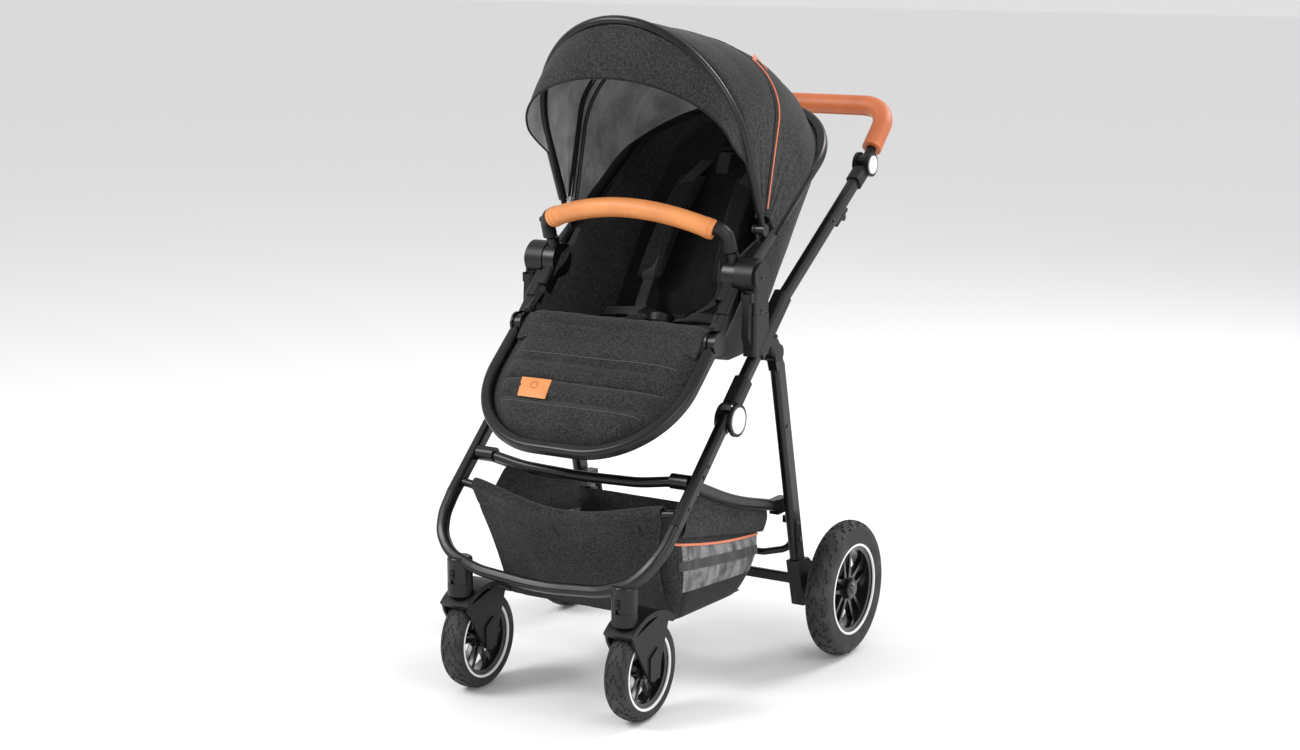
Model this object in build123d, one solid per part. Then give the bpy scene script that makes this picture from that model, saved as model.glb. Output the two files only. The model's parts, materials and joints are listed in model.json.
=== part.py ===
from build123d import *
from math import cos, sin, radians
import os

# A baby stroller in millimetres: +Z up, front towards -Y, its own left side towards +X.
# The origin is on the floor, under the middle of the whole object.

# wheels
front_wheel_radius = 84.0
front_wheel_width = 40.0
front_rim_radius = 59.0
front_axle_y = -347.0
front_track_half = 159.0
caster_y = -393.0
rear_wheel_radius = 119.0
rear_wheel_width = 44.0
rear_rim_radius = 74.0
rear_axle_y = 125.0
rear_track_half = 283.0
axle_radius = 6.0
running_gap = 0.06
side_gap = 0.4

# chassis planes and tubes
chassis_x = 215.0
tube_width = 18.0
tube_depth = 22.0
leg_angle = 42.7
push_angle = 33.2
basket_tube_y = -316.0
basket_tube_z = 337.0
kink_y = 10.0
kink_z = 634.0
push_end_y = 293.0
push_end_z = 819.0
fold_y = -160.0
fold_z = 462.0
fold_disc_radius = 27.0
rear_hinge_y = -18.0
rear_hinge_z = 550.0
rear_leg_top_y = -8.0
rear_leg_bottom_y = 96.0
rear_leg_bottom_z = 96.0
rear_leg_depth = 32.0
rail_rear_y = 52.0
rail_rear_z = 272.0
rail_front_y = -271.0
rail_front_z = 378.5
rail_x = 194.0

# push handle
handle_y = 313.0
handle_z = 834.0
handle_disc_radius = 21.0
grip_y = 413.0
grip_z = 929.0
grip_radius = 18.0

# seat unit
hub_y = -77.0
hub_z = 684.0
hub_radius = 29.0
dome_radius = 31.0
seat_frame_x = 189.0
seat_tube_width = 20.0
seat_tube_depth = 22.0
back_angle = 33.0
back_length = 446.0
rail_angle = 227.4
knee_distance = 134.0
calf_angle = 221.0
calf_length = 244.0
loop_corner = 150.0
tub_half_width = 164.0
tub_wall = 7.0
back_floor_radius = 178.0
seat_half_width = 156.5
seat_wall = 7.0
seat_floor_radius = 170.4
back_panel_angle = 54.0

# canopy, turned about an axis through the two pivots
canopy_y = -17.0
canopy_z = 753.0
front_bow_angle = 113.0
mid_bow_angle = 77.0
bow_half_width = 194.0
bow_reach = 373.0
panel_reach = 352.0
bow_spring = 150.0
bow_radius = 5.0
panel_wall = 1.5
panel_step = 2.5

# bumper bar
bumper_half_width = 176.0
bumper_arm_angle = 108.0
bumper_mid_y = -134.0
bumper_mid_z = 790.0
bumper_end_y = -112.0
bumper_end_z = 757.0


def save(name, *solids):
    os.makedirs("parts", exist_ok=True)
    shape = solids[0] if len(solids) == 1 else Compound(children=list(solids))
    export_step(shape, f"parts/{name}.step")


def side_pair(name, make):
    """Writes the left piece and its mirror image on the right."""
    left = make()
    save("left_" + name, left)
    save("right_" + name, mirror(left, about=Plane.YZ))


def polar(y, z, angle, distance):
    return (y + distance * cos(radians(angle)), z + distance * sin(radians(angle)))


def x_cylinder(radius, x_from, x_to, y, z):
    """A cylinder along X between two planes."""
    place = Plane(origin=(x_from, y, z), z_dir=(1, 0, 0))
    return extrude(place * Circle(radius), x_to - x_from)


def rod(start, end, radius):
    start = Vector(*start)
    way = Vector(*end) - start
    return extrude(Plane(origin=start, z_dir=way) * Circle(radius), way.length)


def bar(start, end, width, depth, corner=6.0):
    """A straight tube of rounded oblong section; its width lies along X."""
    start = Vector(*start)
    way = Vector(*end) - start
    place = Plane(origin=start, x_dir=(1, 0, 0), z_dir=way)
    return extrude(place * RectangleRounded(width, depth, corner), way.length)


def swept(points, radii, section, x_dir=(1, 0, 0)):
    """A section swept along straight runs joined by tangent arcs."""
    path = FilletPolyline(*points, radius=radii)
    place = Plane(origin=path @ 0, x_dir=x_dir, z_dir=path % 0)
    return sweep(place * section, path=path)


def yz_prism(points, x_from, x_to):
    """A polygon in the side view, extruded across X."""
    outline = Polyline(*[(x_from, y, z) for y, z in points], close=True)
    return extrude(make_face(outline), amount=x_to - x_from, dir=(1, 0, 0))


def box_between(low, high):
    size = [b - a for a, b in zip(low, high)]
    middle = [(a + b) / 2 for a, b in zip(low, high)]
    return Pos(*middle) * Box(*size)


# front frame ------------------------------------------------------------

leg_slope = sin(radians(leg_angle)) / cos(radians(leg_angle))


def leg_point(y):
    """A point on the centre line of the leg and of the tube above it."""
    return (chassis_x, y, basket_tube_z + (y - basket_tube_y) * leg_slope)


leg_bottom_y = -334.0
leg_joint_y = -162.0
fold_eye_radius = 15.0


def front_leg():
    leg = bar(leg_point(leg_bottom_y), leg_point(leg_joint_y - 12.0), tube_width, tube_depth)
    eye = x_cylinder(fold_eye_radius, chassis_x - 9.0, chassis_x + 9.0, fold_y, fold_z)
    rivets = [
        x_cylinder(3.2, chassis_x + 8.5, chassis_x + 10.2, y, leg_point(y)[2] - 3.0)
        for y in (-258.0, -304.0)
    ]
    leg = leg + eye + rivets
    return leg - x_cylinder(5.0 + running_gap, chassis_x - 20, chassis_x + 20, fold_y, fold_z)


bar_middle = (0.0, -392.0, 206.0)
caster_top_z = 236.0
caster_seam_z = 192.0
caster_radius = 21.0
pivot_pin_radius = 6.0


def front_crossbar():
    """The bent tube that joins both legs and carries the caster barrels."""
    half = [
        leg_point(leg_bottom_y),
        (213.0, -360.0, 293.0),
        (201.0, -384.0, 266.0),
        (176.0, -397.0, 239.0),
        (120.0, -397.0, 218.0),
    ]
    points = half + [bar_middle] + [(-x, y, z) for x, y, z in reversed(half)]
    bends = [90.0, 70.0, 60.0, 150.0]
    radii = bends + [400.0] + bends[::-1]
    tube = swept(points, radii, RectangleRounded(18.0, 22.0, 6.5))
    for side in (-1, 1):
        x = side * front_track_half
        height = caster_top_z - caster_seam_z
        barrel = Pos(x, caster_y, caster_seam_z + height / 2) * Cylinder(caster_radius, height)
        barrel = fillet(barrel.edges().sort_by(Axis.Z)[-1], 6.0)
        hole = Pos(x, caster_y, caster_seam_z) * Cylinder(
            pivot_pin_radius + running_gap, 30.0, align=(Align.CENTER, Align.CENTER, Align.MIN)
        )
        slot = box_between(
            (x - 4.0, caster_y - 24.0, caster_seam_z), (x + 4.0, caster_y - 17.0, caster_seam_z + 24)
        )
        tube = tube + barrel - hole - slot
    leg = front_leg()
    return tube - leg - mirror(leg, about=Plane.YZ)


def basket_front_tube():
    tube = rod((-204.0, basket_tube_y, basket_tube_z), (204.0, basket_tube_y, basket_tube_z), 7.0)
    for side in (-1, 1):
        low, high = sorted((side * 190.0, side * 205.6))
        tube = tube + x_cylinder(12.0, low, high, basket_tube_y, basket_tube_z)
    return tube


# casters ----------------------------------------------------------------

fork_inside = front_wheel_width / 2 + 2.5
fork_plate = 4.5


def caster_fork():
    x = front_track_half
    neck = Pos(x, caster_y, 181.0) * Cylinder(caster_radius, 2 * (caster_seam_z - side_gap - 181.0))
    pin = Pos(x, caster_y, 200.0) * Cylinder(pivot_pin_radius, 34.0)
    crown_outer = x_cylinder(99.0, x - 27.0, x + 27.0, front_axle_y, front_wheel_radius)
    crown_inner = x_cylinder(90.0, x - 30.0, x + 30.0, front_axle_y, front_wheel_radius)
    wedge = yz_prism(
        [
            (front_axle_y, front_wheel_radius),
            (front_axle_y - 92.0, front_wheel_radius + 100.0),
            (front_axle_y - 92.0, 230.0),
            (front_axle_y + 60.0, 230.0),
            (front_axle_y + 62.0, front_wheel_radius + 72.0),
        ],
        x - 40.0,
        x + 40.0,
    )
    crown = (crown_outer - crown_inner) & wedge
    under = box_between((x - 30, caster_y - 30, 160), (x + 30, caster_y + 30, 172.0))
    neck = neck - (under & x_cylinder(90.0, x - 30, x + 30, front_axle_y, front_wheel_radius))
    fork = neck + pin + crown
    for side in (-1, 1):
        near = x + side * fork_inside
        far = x + side * (fork_inside + fork_plate)
        low, high = sorted((near, far))
        plate = yz_prism(
            [
                (front_axle_y - 14.0, front_wheel_radius - 12.0),
                (front_axle_y - 58.0, front_wheel_radius + 56.0),
                (front_axle_y - 62.0, front_wheel_radius + 70.0),
                (front_axle_y + 14.0, front_wheel_radius + 90.0),
                (front_axle_y + 44.0, front_wheel_radius + 78.0),
                (front_axle_y + 18.0, front_wheel_radius + 6.0),
            ],
            low,
            high,
        )
        boss = x_cylinder(16.0, low, high, front_axle_y, front_wheel_radius)
        pad = yz_prism(
            [
                (front_axle_y - 16.0, front_wheel_radius - 10.0),
                (front_axle_y - 16.0, front_wheel_radius + 26.0),
                (front_axle_y + 6.0, front_wheel_radius + 40.0),
                (front_axle_y + 15.0, front_wheel_radius + 12.0),
                (front_axle_y + 12.0, front_wheel_radius - 12.0),
            ],
            min(far, far + side * 3.0),
            max(far, far + side * 3.0),
        )
        fork = fork + plate + boss + pad
    axle = x_cylinder(axle_radius, x - fork_inside, x + fork_inside, front_axle_y, front_wheel_radius)
    return fork + axle


def swivel_lock():
    x = front_track_half
    slider = box_between(
        (x - 3.6, caster_y - 23.0, caster_seam_z + 8.0), (x + 3.6, caster_y - 17.4, caster_seam_z + 23)
    )
    rib = box_between(
        (x - 2.4, caster_y - 25.0, caster_seam_z + 14.0), (x + 2.4, caster_y - 22.9, caster_seam_z + 17)
    )
    return slider + rib


# wheels -----------------------------------------------------------------


def tyre(x, y, radius, width, rim_radius):
    """A rounded tyre about an axis along X."""
    half = width / 2
    with_plane = Plane(origin=(x, y, radius), x_dir=(1, 0, 0), z_dir=(0, -1, 0))
    outline = Polyline(
        (-half * 0.62, rim_radius), (-half * 0.94, rim_radius + 7.0), (-half, (radius + rim_radius) / 2 + 3)
    )
    crown = ThreePointArc(outline @ 1, (0, radius), (half, (radius + rim_radius) / 2 + 3))
    back = Polyline(crown @ 1, (half * 0.94, rim_radius + 7.0), (half * 0.62, rim_radius))
    foot = Line(back @ 1, outline @ 0)
    section = with_plane * make_face([outline, crown, back, foot])
    return revolve(section, Axis((x, y, radius), (1, 0, 0)), 360)


def rim(x, y, wheel_radius, width, rim_radius, spoke_count=5):
    """A rim of five twin spokes between a barrel and a hub."""
    centre_z = wheel_radius
    barrel = x_cylinder(rim_radius, x - width * 0.31, x + width * 0.31, y, centre_z)
    barrel = barrel - x_cylinder(rim_radius - 5.0, x - width, x + width, y, centre_z)
    hub = x_cylinder(14.0, x - width * 0.45, x + width * 0.45, y, centre_z)
    wheel = barrel + hub
    reach = rim_radius - 3.0
    for index in range(spoke_count):
        for lean in (-9.0, 9.0):
            spoke = Pos(0, lean * 0.55, reach / 2) * Rot(lean * 0.55, 0, 0) * Box(9.0, 6.0, reach)
            wheel = wheel + Pos(x, y, centre_z) * Rot(index * 360 / spoke_count, 0, 0) * spoke
    hole = x_cylinder(axle_radius + running_gap, x - width, x + width, y, centre_z)
    return wheel - hole


def front_tyre():
    return tyre(
        front_track_half, front_axle_y, front_wheel_radius, front_wheel_width, front_rim_radius
    )


def front_rim():
    return rim(
        front_track_half, front_axle_y, front_wheel_radius, front_wheel_width, front_rim_radius
    )


def rear_tyre():
    return tyre(rear_track_half, rear_axle_y, rear_wheel_radius, rear_wheel_width, rear_rim_radius)


def rear_rim():
    wheel = rim(rear_track_half, rear_axle_y, rear_wheel_radius, rear_wheel_width, rear_rim_radius)
    cap_x = rear_track_half + rear_wheel_width * 0.45
    cap = x_cylinder(15.0, cap_x, cap_x + 4.0, rear_axle_y, rear_wheel_radius)
    return wheel + cap


# upper frame ------------------------------------------------------------

push_start = Vector(*leg_point(leg_joint_y + 14.0))
sleeve_low_y = -78.0
sleeve_high_y = 14.0


def upper_tube():
    points = [tuple(push_start), (chassis_x, kink_y, kink_z), (chassis_x, push_end_y, push_end_z)]
    return swept(points, [70.0], RectangleRounded(tube_width, tube_depth, 6.0))


post_half_x = 8.5
post_half_y = 20.0
socket_top_z = 624.0
post_bottom_z = 600.0


def sleeve():
    body = bar(leg_point(sleeve_low_y), leg_point(sleeve_high_y), 25.0, 31.0, 7.0)
    socket = box_between((203.0, hub_y - 25.0, 556.0), (227.0, hub_y + 25.0, socket_top_z))
    socket = fillet(socket.edges().filter_by(Axis.Z), 5.0)
    lug = bar(
        (chassis_x, rear_hinge_y - 26.0, rear_hinge_z + 32.0),
        (chassis_x, rear_hinge_y, rear_hinge_z),
        25.0,
        30.0,
        6.0,
    )
    eye = x_cylinder(15.0, 202.5, 227.5, rear_hinge_y, rear_hinge_z)
    body = body + socket + lug + eye
    body = body - box_between(
        (chassis_x - post_half_x - 0.3, hub_y - post_half_y - 0.3, post_bottom_z - 1.0),
        (chassis_x + post_half_x + 0.3, hub_y + post_half_y + 0.3, socket_top_z + 1.0),
    )
    slot = x_cylinder(17.5, 206.4, 223.6, rear_hinge_y, rear_hinge_z)
    body = body - slot - bar(
        leg_point(sleeve_low_y - 30.0), leg_point(kink_y), tube_width, tube_depth
    )
    pin = x_cylinder(5.0, 204.0, 226.0, rear_hinge_y, rear_hinge_z)
    return body - upper_tube() + pin


def fold_joint():
    """Two cheeks either side of the leg's eye, the pin, and the foot of the upper tube."""
    outer = x_cylinder(fold_disc_radius, 224.6, 230.0, fold_y, fold_z)
    inner = x_cylinder(fold_disc_radius, 200.0, 205.4, fold_y, fold_z)
    recess = x_cylinder(22.0, 228.0, 231.0, fold_y, fold_z)
    pin = x_cylinder(5.0, 204.0, 226.0, fold_y, fold_z)
    low = leg_point(leg_joint_y + 6.0)
    high = leg_point(leg_joint_y + 44.0)
    saddle = bar(low, high, 27.0, 26.0, 7.0)
    eye_room = x_cylinder(27.2, 205.4, 224.6, fold_y, fold_z)
    saddle = saddle - eye_room - upper_tube()
    turn = Axis((0.0, fold_y, fold_z), (1.0, 0.0, 0.0))
    stem = bar(leg_point(leg_bottom_y), leg_point(leg_joint_y - 11.0), 19.2, 23.6)
    for angle in (-50.0, -60.0, -68.0, -76.0):
        saddle = saddle - stem.rotate(turn, angle)
    return outer + inner + pin + saddle - recess


def fold_cap():
    return x_cylinder(21.6, 228.0, 231.0, fold_y, fold_z)


def handle_joint():
    """Two cheeks that hold the handle's knuckle, on a block at the tube's end."""
    outer = x_cylinder(handle_disc_radius, 223.0, 231.0, handle_y, handle_z)
    recess = x_cylinder(16.6, 224.6, 232.0, handle_y, handle_z)
    inner = x_cylinder(handle_disc_radius, 201.0, 207.0, handle_y, handle_z)
    pin = x_cylinder(5.0, 206.0, 224.0, handle_y, handle_z)
    near = polar(push_end_y, push_end_z, push_angle + 180.0, 26.0)
    far = polar(push_end_y, push_end_z, push_angle, 6.0)
    block = bar((chassis_x, *near), (chassis_x, *far), 25.0, 27.0, 7.0)
    block = block - bar(
        (chassis_x, *near),
        (chassis_x, push_end_y, push_end_z),
        tube_width,
        tube_depth,
    )
    web = x_cylinder(handle_disc_radius, 202.0, 228.0, handle_y, handle_z)
    block = block - web
    return outer + inner + pin + block - recess - upper_tube()


trigger_from = 78.0
trigger_length = 44.0


def push_frame(distance, drop):
    """A point along the push tube back from its end, and below its axis."""
    y, z = polar(push_end_y, push_end_z, push_angle + 180.0, distance)
    return polar(y, z, push_angle - 90.0, drop)


def fold_trigger():
    start = push_frame(trigger_from + trigger_length, tube_depth / 2 + 4.6)
    end = push_frame(trigger_from, tube_depth / 2 + 4.6)
    body = bar((chassis_x, *start), (chassis_x, *end), 14.0, 8.0, 3.0)
    hook_y, hook_z = push_frame(trigger_from + 18.0, tube_depth / 2 + 8.0)
    return body + x_cylinder(6.5, 208.0, 222.0, hook_y, hook_z)


def handle_button():
    return x_cylinder(16.0, 227.4, 232.4, handle_y, handle_z)


def handle_bar():
    arm_x = chassis_x
    points = [
        (arm_x, handle_y, handle_z),
        (arm_x, grip_y, grip_z),
        (-arm_x, grip_y, grip_z),
        (-arm_x, handle_y, handle_z),
    ]
    tube = swept(points, [52.0, 52.0], Circle(9.0))
    for side in (-1, 1):
        x = side * arm_x
        room = x_cylinder(handle_disc_radius + 0.8, x - 12.0, x + 12.0, handle_y, handle_z)
        tube = tube - room
        eye = x_cylinder(17.6, x - 7.6, x + 7.6, handle_y, handle_z)
        arm_y, arm_z = polar(handle_y, handle_z, 43.3, 34.0)
        neck = bar((x, handle_y, handle_z), (x, arm_y, arm_z), 15.2, 17.0, 6.0)
        hole = x_cylinder(5.0 + running_gap, x - 12.0, x + 12.0, handle_y, handle_z)
        tube = tube + eye + neck - hole
    return tube


def handle_grip():
    arm_y, arm_z = polar(handle_y, handle_z, 43.3, 36.0)
    points = [
        (chassis_x, arm_y, arm_z),
        (chassis_x, grip_y, grip_z),
        (-chassis_x, grip_y, grip_z),
        (-chassis_x, arm_y, arm_z),
    ]
    return swept(points, [52.0, 52.0], Circle(grip_radius) - Circle(9.0))


# rear frame -------------------------------------------------------------

rear_leg_angle_y = (rear_leg_bottom_y - rear_leg_top_y) / (rear_hinge_z - rear_leg_bottom_z)
foot_inside = 203.0
foot_outside = 240.0


def rear_leg_y(z):
    return rear_leg_bottom_y - (z - rear_leg_bottom_z) * rear_leg_angle_y


def rear_leg():
    top_z = rear_hinge_z - 24.0
    top = (chassis_x, rear_leg_y(top_z), top_z)
    bottom = (chassis_x, rear_leg_bottom_y, rear_leg_bottom_z)
    leg = bar(bottom, top, 17.0, rear_leg_depth, 7.0)
    eye = x_cylinder(14.0, 206.8, 223.2, rear_hinge_y, rear_hinge_z)
    neck = yz_prism(
        [
            (rear_hinge_y - 9.0, rear_hinge_z - 6.0),
            (rear_hinge_y + 12.0, rear_hinge_z + 4.0),
            (top[1] + 13.0, top_z - 4.0),
            (top[1] - 14.0, top_z - 8.0),
        ],
        206.8,
        223.2,
    )
    hole = x_cylinder(5.0 + running_gap, 200.0, 230.0, rear_hinge_y, rear_hinge_z)
    foot = yz_prism(
        [
            (rear_leg_y(172.0) - 19.0, 172.0),
            (rear_leg_y(172.0) + 19.0, 172.0),
            (rear_axle_y + 22.0, 132.0),
            (rear_axle_y + 20.0, 102.0),
            (rear_axle_y - 6.0, 92.0),
            (rear_leg_y(92.0) - 14.0, 88.0),
        ],
        foot_inside,
        227.0,
    )
    barrel = x_cylinder(19.0, 226.0, foot_outside, rear_axle_y, rear_wheel_radius)
    axle = x_cylinder(axle_radius, 230.0, rear_track_half + 18.0, rear_axle_y, rear_wheel_radius)
    leg = leg + neck + eye + foot + barrel + axle
    return leg - hole


brake_bar_y = 84.0
brake_bar_z = 134.0


def brake_bar():
    """The flat bar between the feet that carries the pedal."""
    beam = box_between(
        (-foot_inside, brake_bar_y - 5.0, brake_bar_z - 9.0),
        (foot_inside, brake_bar_y + 5.0, brake_bar_z + 9.0),
    )
    beam = fillet(beam.edges().filter_by(Axis.X), 3.0)
    for x in (-24.0, 24.0):
        ear = box_between((x - 4.0, brake_bar_y + 4.0, brake_bar_z - 6.0), (x + 4.0, 118.0, 146.0))
        beam = beam + ear
    beam = beam + x_cylinder(3.5, -25.0, 25.0, 112.0, 140.0)
    return beam


def brake_pedal():
    tread = box_between((-19.4, 104.0, 142.0), (19.4, 150.0, 148.0))
    barrel = x_cylinder(7.0, -19.4, 19.4, 112.0, 140.0)
    ridges = [box_between((-16.0, y, 147.5), (16.0, y + 2.0, 149.5)) for y in (128, 134, 140)]
    return tread + barrel + ridges - x_cylinder(3.5 + running_gap, -30.0, 30.0, 112.0, 140.0)


def rear_cross_tube():
    """A bent tube between the rear legs, behind and below the basket."""
    top_z = 254.0
    low_z = 184.0
    inner = 196.0
    leg_inside = chassis_x - 8.5
    top_y = rear_leg_y(top_z) + 22.0
    low_y = rear_leg_y(low_z) + 22.0
    points = [
        (inner, top_y, top_z),
        (inner, low_y, low_z),
        (inner - 46.0, low_y - 24.0, low_z - 8.0),
        (46.0 - inner, low_y - 24.0, low_z - 8.0),
        (-inner, low_y, low_z),
        (-inner, top_y, top_z),
    ]
    tube = swept(points, [22.0, 22.0, 22.0, 22.0], Circle(6.0))
    for side in (-1, 1):
        low, high = sorted((side * (inner - 2.0), side * leg_inside))
        for z, y in ((top_z - 10.0, top_y), (low_z + 24.0, rear_leg_y(low_z + 24.0) + 22.0)):
            pad = box_between((low, y - 20.0, z - 6.0), (high, y + 3.0, z + 6.0))
            tube = tube + pad
    return tube


# basket -----------------------------------------------------------------

knuckle_radius = 12.5


def basket_frame():
    """The bowed cross tube, its knuckles and the two side rails."""
    front = (rail_front_y, rail_front_z)
    middle = (0.0, rail_front_y - 6.0, rail_front_z - 13.0)
    points = [
        (rail_x - 12.0, *front),
        (112.0, rail_front_y - 4.0, rail_front_z - 10.0),
        middle,
        (-112.0, rail_front_y - 4.0, rail_front_z - 10.0),
        (12.0 - rail_x, *front),
    ]
    frame = swept(points, [260.0, 900.0, 260.0], Circle(8.5))
    for side in (-1, 1):
        x = side * rail_x
        low, high = sorted((side * 172.0, side * 205.4))
        knuckle = x_cylinder(knuckle_radius, low, high, *front)
        sag = (rail_front_y + rail_rear_y) / 2
        rail_points = [
            (x, rail_front_y + 4.0, rail_front_z - 1.0),
            (x, sag, (rail_front_z + rail_rear_z) / 2 - 14.0),
            (x, rail_rear_y - 10.0, rail_rear_z),
        ]
        rail = swept(rail_points, [900.0], RectangleRounded(14.0, 20.0, 6.5))
        fitting = box_between(
            (min(x - 8.5, x + 8.5), rail_rear_y - 22.0, rail_rear_z - 13.0),
            (max(x - 8.5, x + 8.5), rail_rear_y + 13.0, rail_rear_z + 13.0),
        )
        frame = frame + knuckle + rail + fitting
    return frame


basket_top_x = 184.0
basket_low_x = 158.0
basket_wall = 2.5


def basket_block(inset, lift):
    """The basket's outer form; inset pulls every wall in and lift raises the floor."""
    top = [
        (rail_front_y - 30.0 + inset, rail_front_z - 52.0 + lift),
        (rail_rear_y - 26.0 - inset, rail_rear_z - 22.0 + lift),
    ]
    low = [(-248.0 + inset, 134.0 + lift), (-22.0 - inset, 130.0 + lift)]
    top_x = basket_top_x - inset
    low_x = basket_low_x - inset
    rim_face = make_face(
        Polyline(
            (-top_x, *top[0]), (top_x, *top[0]), (top_x, *top[1]), (-top_x, *top[1]), close=True
        )
    )
    floor_face = make_face(
        Polyline(
            (-low_x, *low[0]), (low_x, *low[0]), (low_x, *low[1]), (-low_x, *low[1]), close=True
        )
    )
    return loft([floor_face, rim_face], ruled=True)


def basket():
    return basket_block(0.0, 0.0) - basket_block(basket_wall, basket_wall)


# seat adapters ----------------------------------------------------------


def seat_adapter():
    dome = x_cylinder(dome_radius, 188.4, 222.0, hub_y, hub_z)
    dome = dome + x_cylinder(dome_radius - 6.0, 221.0, 227.0, hub_y, hub_z)
    post = box_between(
        (chassis_x - post_half_x, hub_y - post_half_y, post_bottom_z),
        (chassis_x + post_half_x, hub_y + post_half_y, hub_z),
    )
    skirt = box_between((203.5, hub_y - 23.5, socket_top_z + 0.4), (226.5, hub_y + 23.5, hub_z))
    skirt = fillet(skirt.edges().filter_by(Axis.Z), 4.0)
    ears = box_between((205.0, hub_y - 33.0, 646.0), (208.0, hub_y - 20.0, 662.0))
    ears = ears + box_between((222.0, hub_y - 33.0, 646.0), (225.0, hub_y - 20.0, 662.0))
    pin = x_cylinder(2.5, 207.0, 223.0, hub_y - 29.0, 655.0)
    hub_pin = x_cylinder(8.0, 166.0, 189.0, hub_y, hub_z)
    return dome + post + skirt + ears + pin + hub_pin


def release_flap():
    flap = yz_prism(
        [
            (hub_y - 33.5, 659.0),
            (hub_y - 25.5, 659.0),
            (hub_y - 25.6, 584.0),
            (hub_y - 29.0, 572.0),
            (hub_y - 38.0, 590.0),
        ],
        208.4,
        221.6,
    )
    return flap - x_cylinder(2.5 + running_gap, 200.0, 230.0, hub_y - 29.0, 655.0)


# seat frame -------------------------------------------------------------

knee_y, knee_z = polar(hub_y, hub_z, rail_angle, knee_distance)
arm_start = 33.5


def seat_rail():
    """The seat-side hub with the tube down to the knee."""
    disc = x_cylinder(hub_radius, 165.0, 188.0, hub_y, hub_z)
    start = polar(hub_y, hub_z, rail_angle, arm_start)
    end = polar(hub_y, hub_z, rail_angle, knee_distance - 17.5)
    tube = bar((seat_frame_x, *start), (seat_frame_x, *end), seat_tube_width, seat_tube_depth)
    collar_end = polar(hub_y, hub_z, rail_angle, 84.0)
    collar = bar((seat_frame_x - 2.0, *start), (seat_frame_x - 2.0, *collar_end), 24.0, 28.0, 7.0)
    inner = polar(hub_y, hub_z, rail_angle, 60.0)
    link = bar((176.5, hub_y, hub_z), (176.5, *inner), 23.0, 30.0, 6.0)
    back_inner = polar(hub_y, hub_z, back_angle, 29.5)
    back_link = bar((176.5, hub_y, hub_z), (176.5, *back_inner), 23.0, 26.0, 6.0)
    cheek = x_cylinder(19.0, 179.0, 183.0, knee_y, knee_z)
    cheek = cheek + x_cylinder(19.0, 195.0, 199.0, knee_y, knee_z)
    knee_pin = x_cylinder(5.0, 182.0, 196.0, knee_y, knee_z)
    stub_low = polar(hub_y, hub_z, bumper_arm_angle, 22.0)
    stub_high = polar(hub_y, hub_z, bumper_arm_angle, 42.0)
    stub = rod((176.0, *stub_low), (176.0, *stub_high), 10.6)
    bore = rod((176.0, *polar(hub_y, hub_z, bumper_arm_angle, 27.0)), (176.0, *stub_high), 5.08)
    hub_bore = x_cylinder(8.0 + running_gap, 160.0, 190.0, hub_y, hub_z)
    return disc + tube + collar + link + back_link + cheek + knee_pin + stub - bore - hub_bore


def seat_plane(angle, y, z):
    """A work plane across the seat: its x runs along X and its y along the given direction."""
    normal = (0.0, -sin(radians(angle)), cos(radians(angle)))
    return Plane(origin=(0.0, y, z), x_dir=(1, 0, 0), z_dir=normal)


def loop_tube(place, half_width, start, length, corner, section):
    path = FilletPolyline(
        (half_width, start), (half_width, length), (-half_width, length), (-half_width, start),
        radius=corner,
    )
    path = place * path
    start_plane = Plane(origin=path @ 0, x_dir=place.x_dir, z_dir=path % 0)
    return sweep(start_plane * section, path=path)


def backrest_frame():
    place = seat_plane(back_angle, hub_y, hub_z)
    section = RectangleRounded(seat_tube_width, seat_tube_depth, 7.0)
    loop = loop_tube(place, seat_frame_x, arm_start, back_length, loop_corner, section)
    for side in (-1, 1):
        low, high = sorted((side * 183.5, side * 188.5))
        foot = polar(canopy_y, canopy_z, back_angle - 90.0, 20.0)
        fore = polar(*foot, back_angle, 16.0)
        aft = polar(*foot, back_angle, -16.0)
        tip_a = polar(canopy_y, canopy_z, back_angle, 7.0)
        tip_b = polar(canopy_y, canopy_z, back_angle, -7.0)
        plate = yz_prism([fore, tip_a, tip_b, aft], low, high)
        boss = x_cylinder(9.0, low, high, canopy_y, canopy_z)
        pin_low, pin_high = sorted((side * 176.0, side * 199.0))
        pin = x_cylinder(3.5, pin_low, pin_high, canopy_y, canopy_z)
        loop = loop + plate + boss + pin
    return loop


def calf_frame():
    place = seat_plane(calf_angle, knee_y, knee_z)
    section = RectangleRounded(seat_tube_width, seat_tube_depth, 7.0)
    loop = loop_tube(place, seat_frame_x, 22.0, calf_length, loop_corner, section)
    for side in (-1, 1):
        x = side * seat_frame_x
        eye = x_cylinder(16.0, x - 5.6, x + 5.6, knee_y, knee_z)
        end = polar(knee_y, knee_z, calf_angle, 30.0)
        neck = bar((x, knee_y, knee_z), (x, *end), 11.2, 18.0, 4.0)
        hole = x_cylinder(5.0 + running_gap, x - 12.0, x + 12.0, knee_y, knee_z)
        loop = loop + eye + neck - hole
    return loop


def tub(half_width, wall, floor_radius):
    """A hammock open at the top: a rounded floor about the hub, a flat back and two sides."""
    outer = tub_block(half_width, floor_radius, 0.0)
    inner = tub_block(half_width - wall, floor_radius - wall, wall)
    return outer - inner


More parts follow.
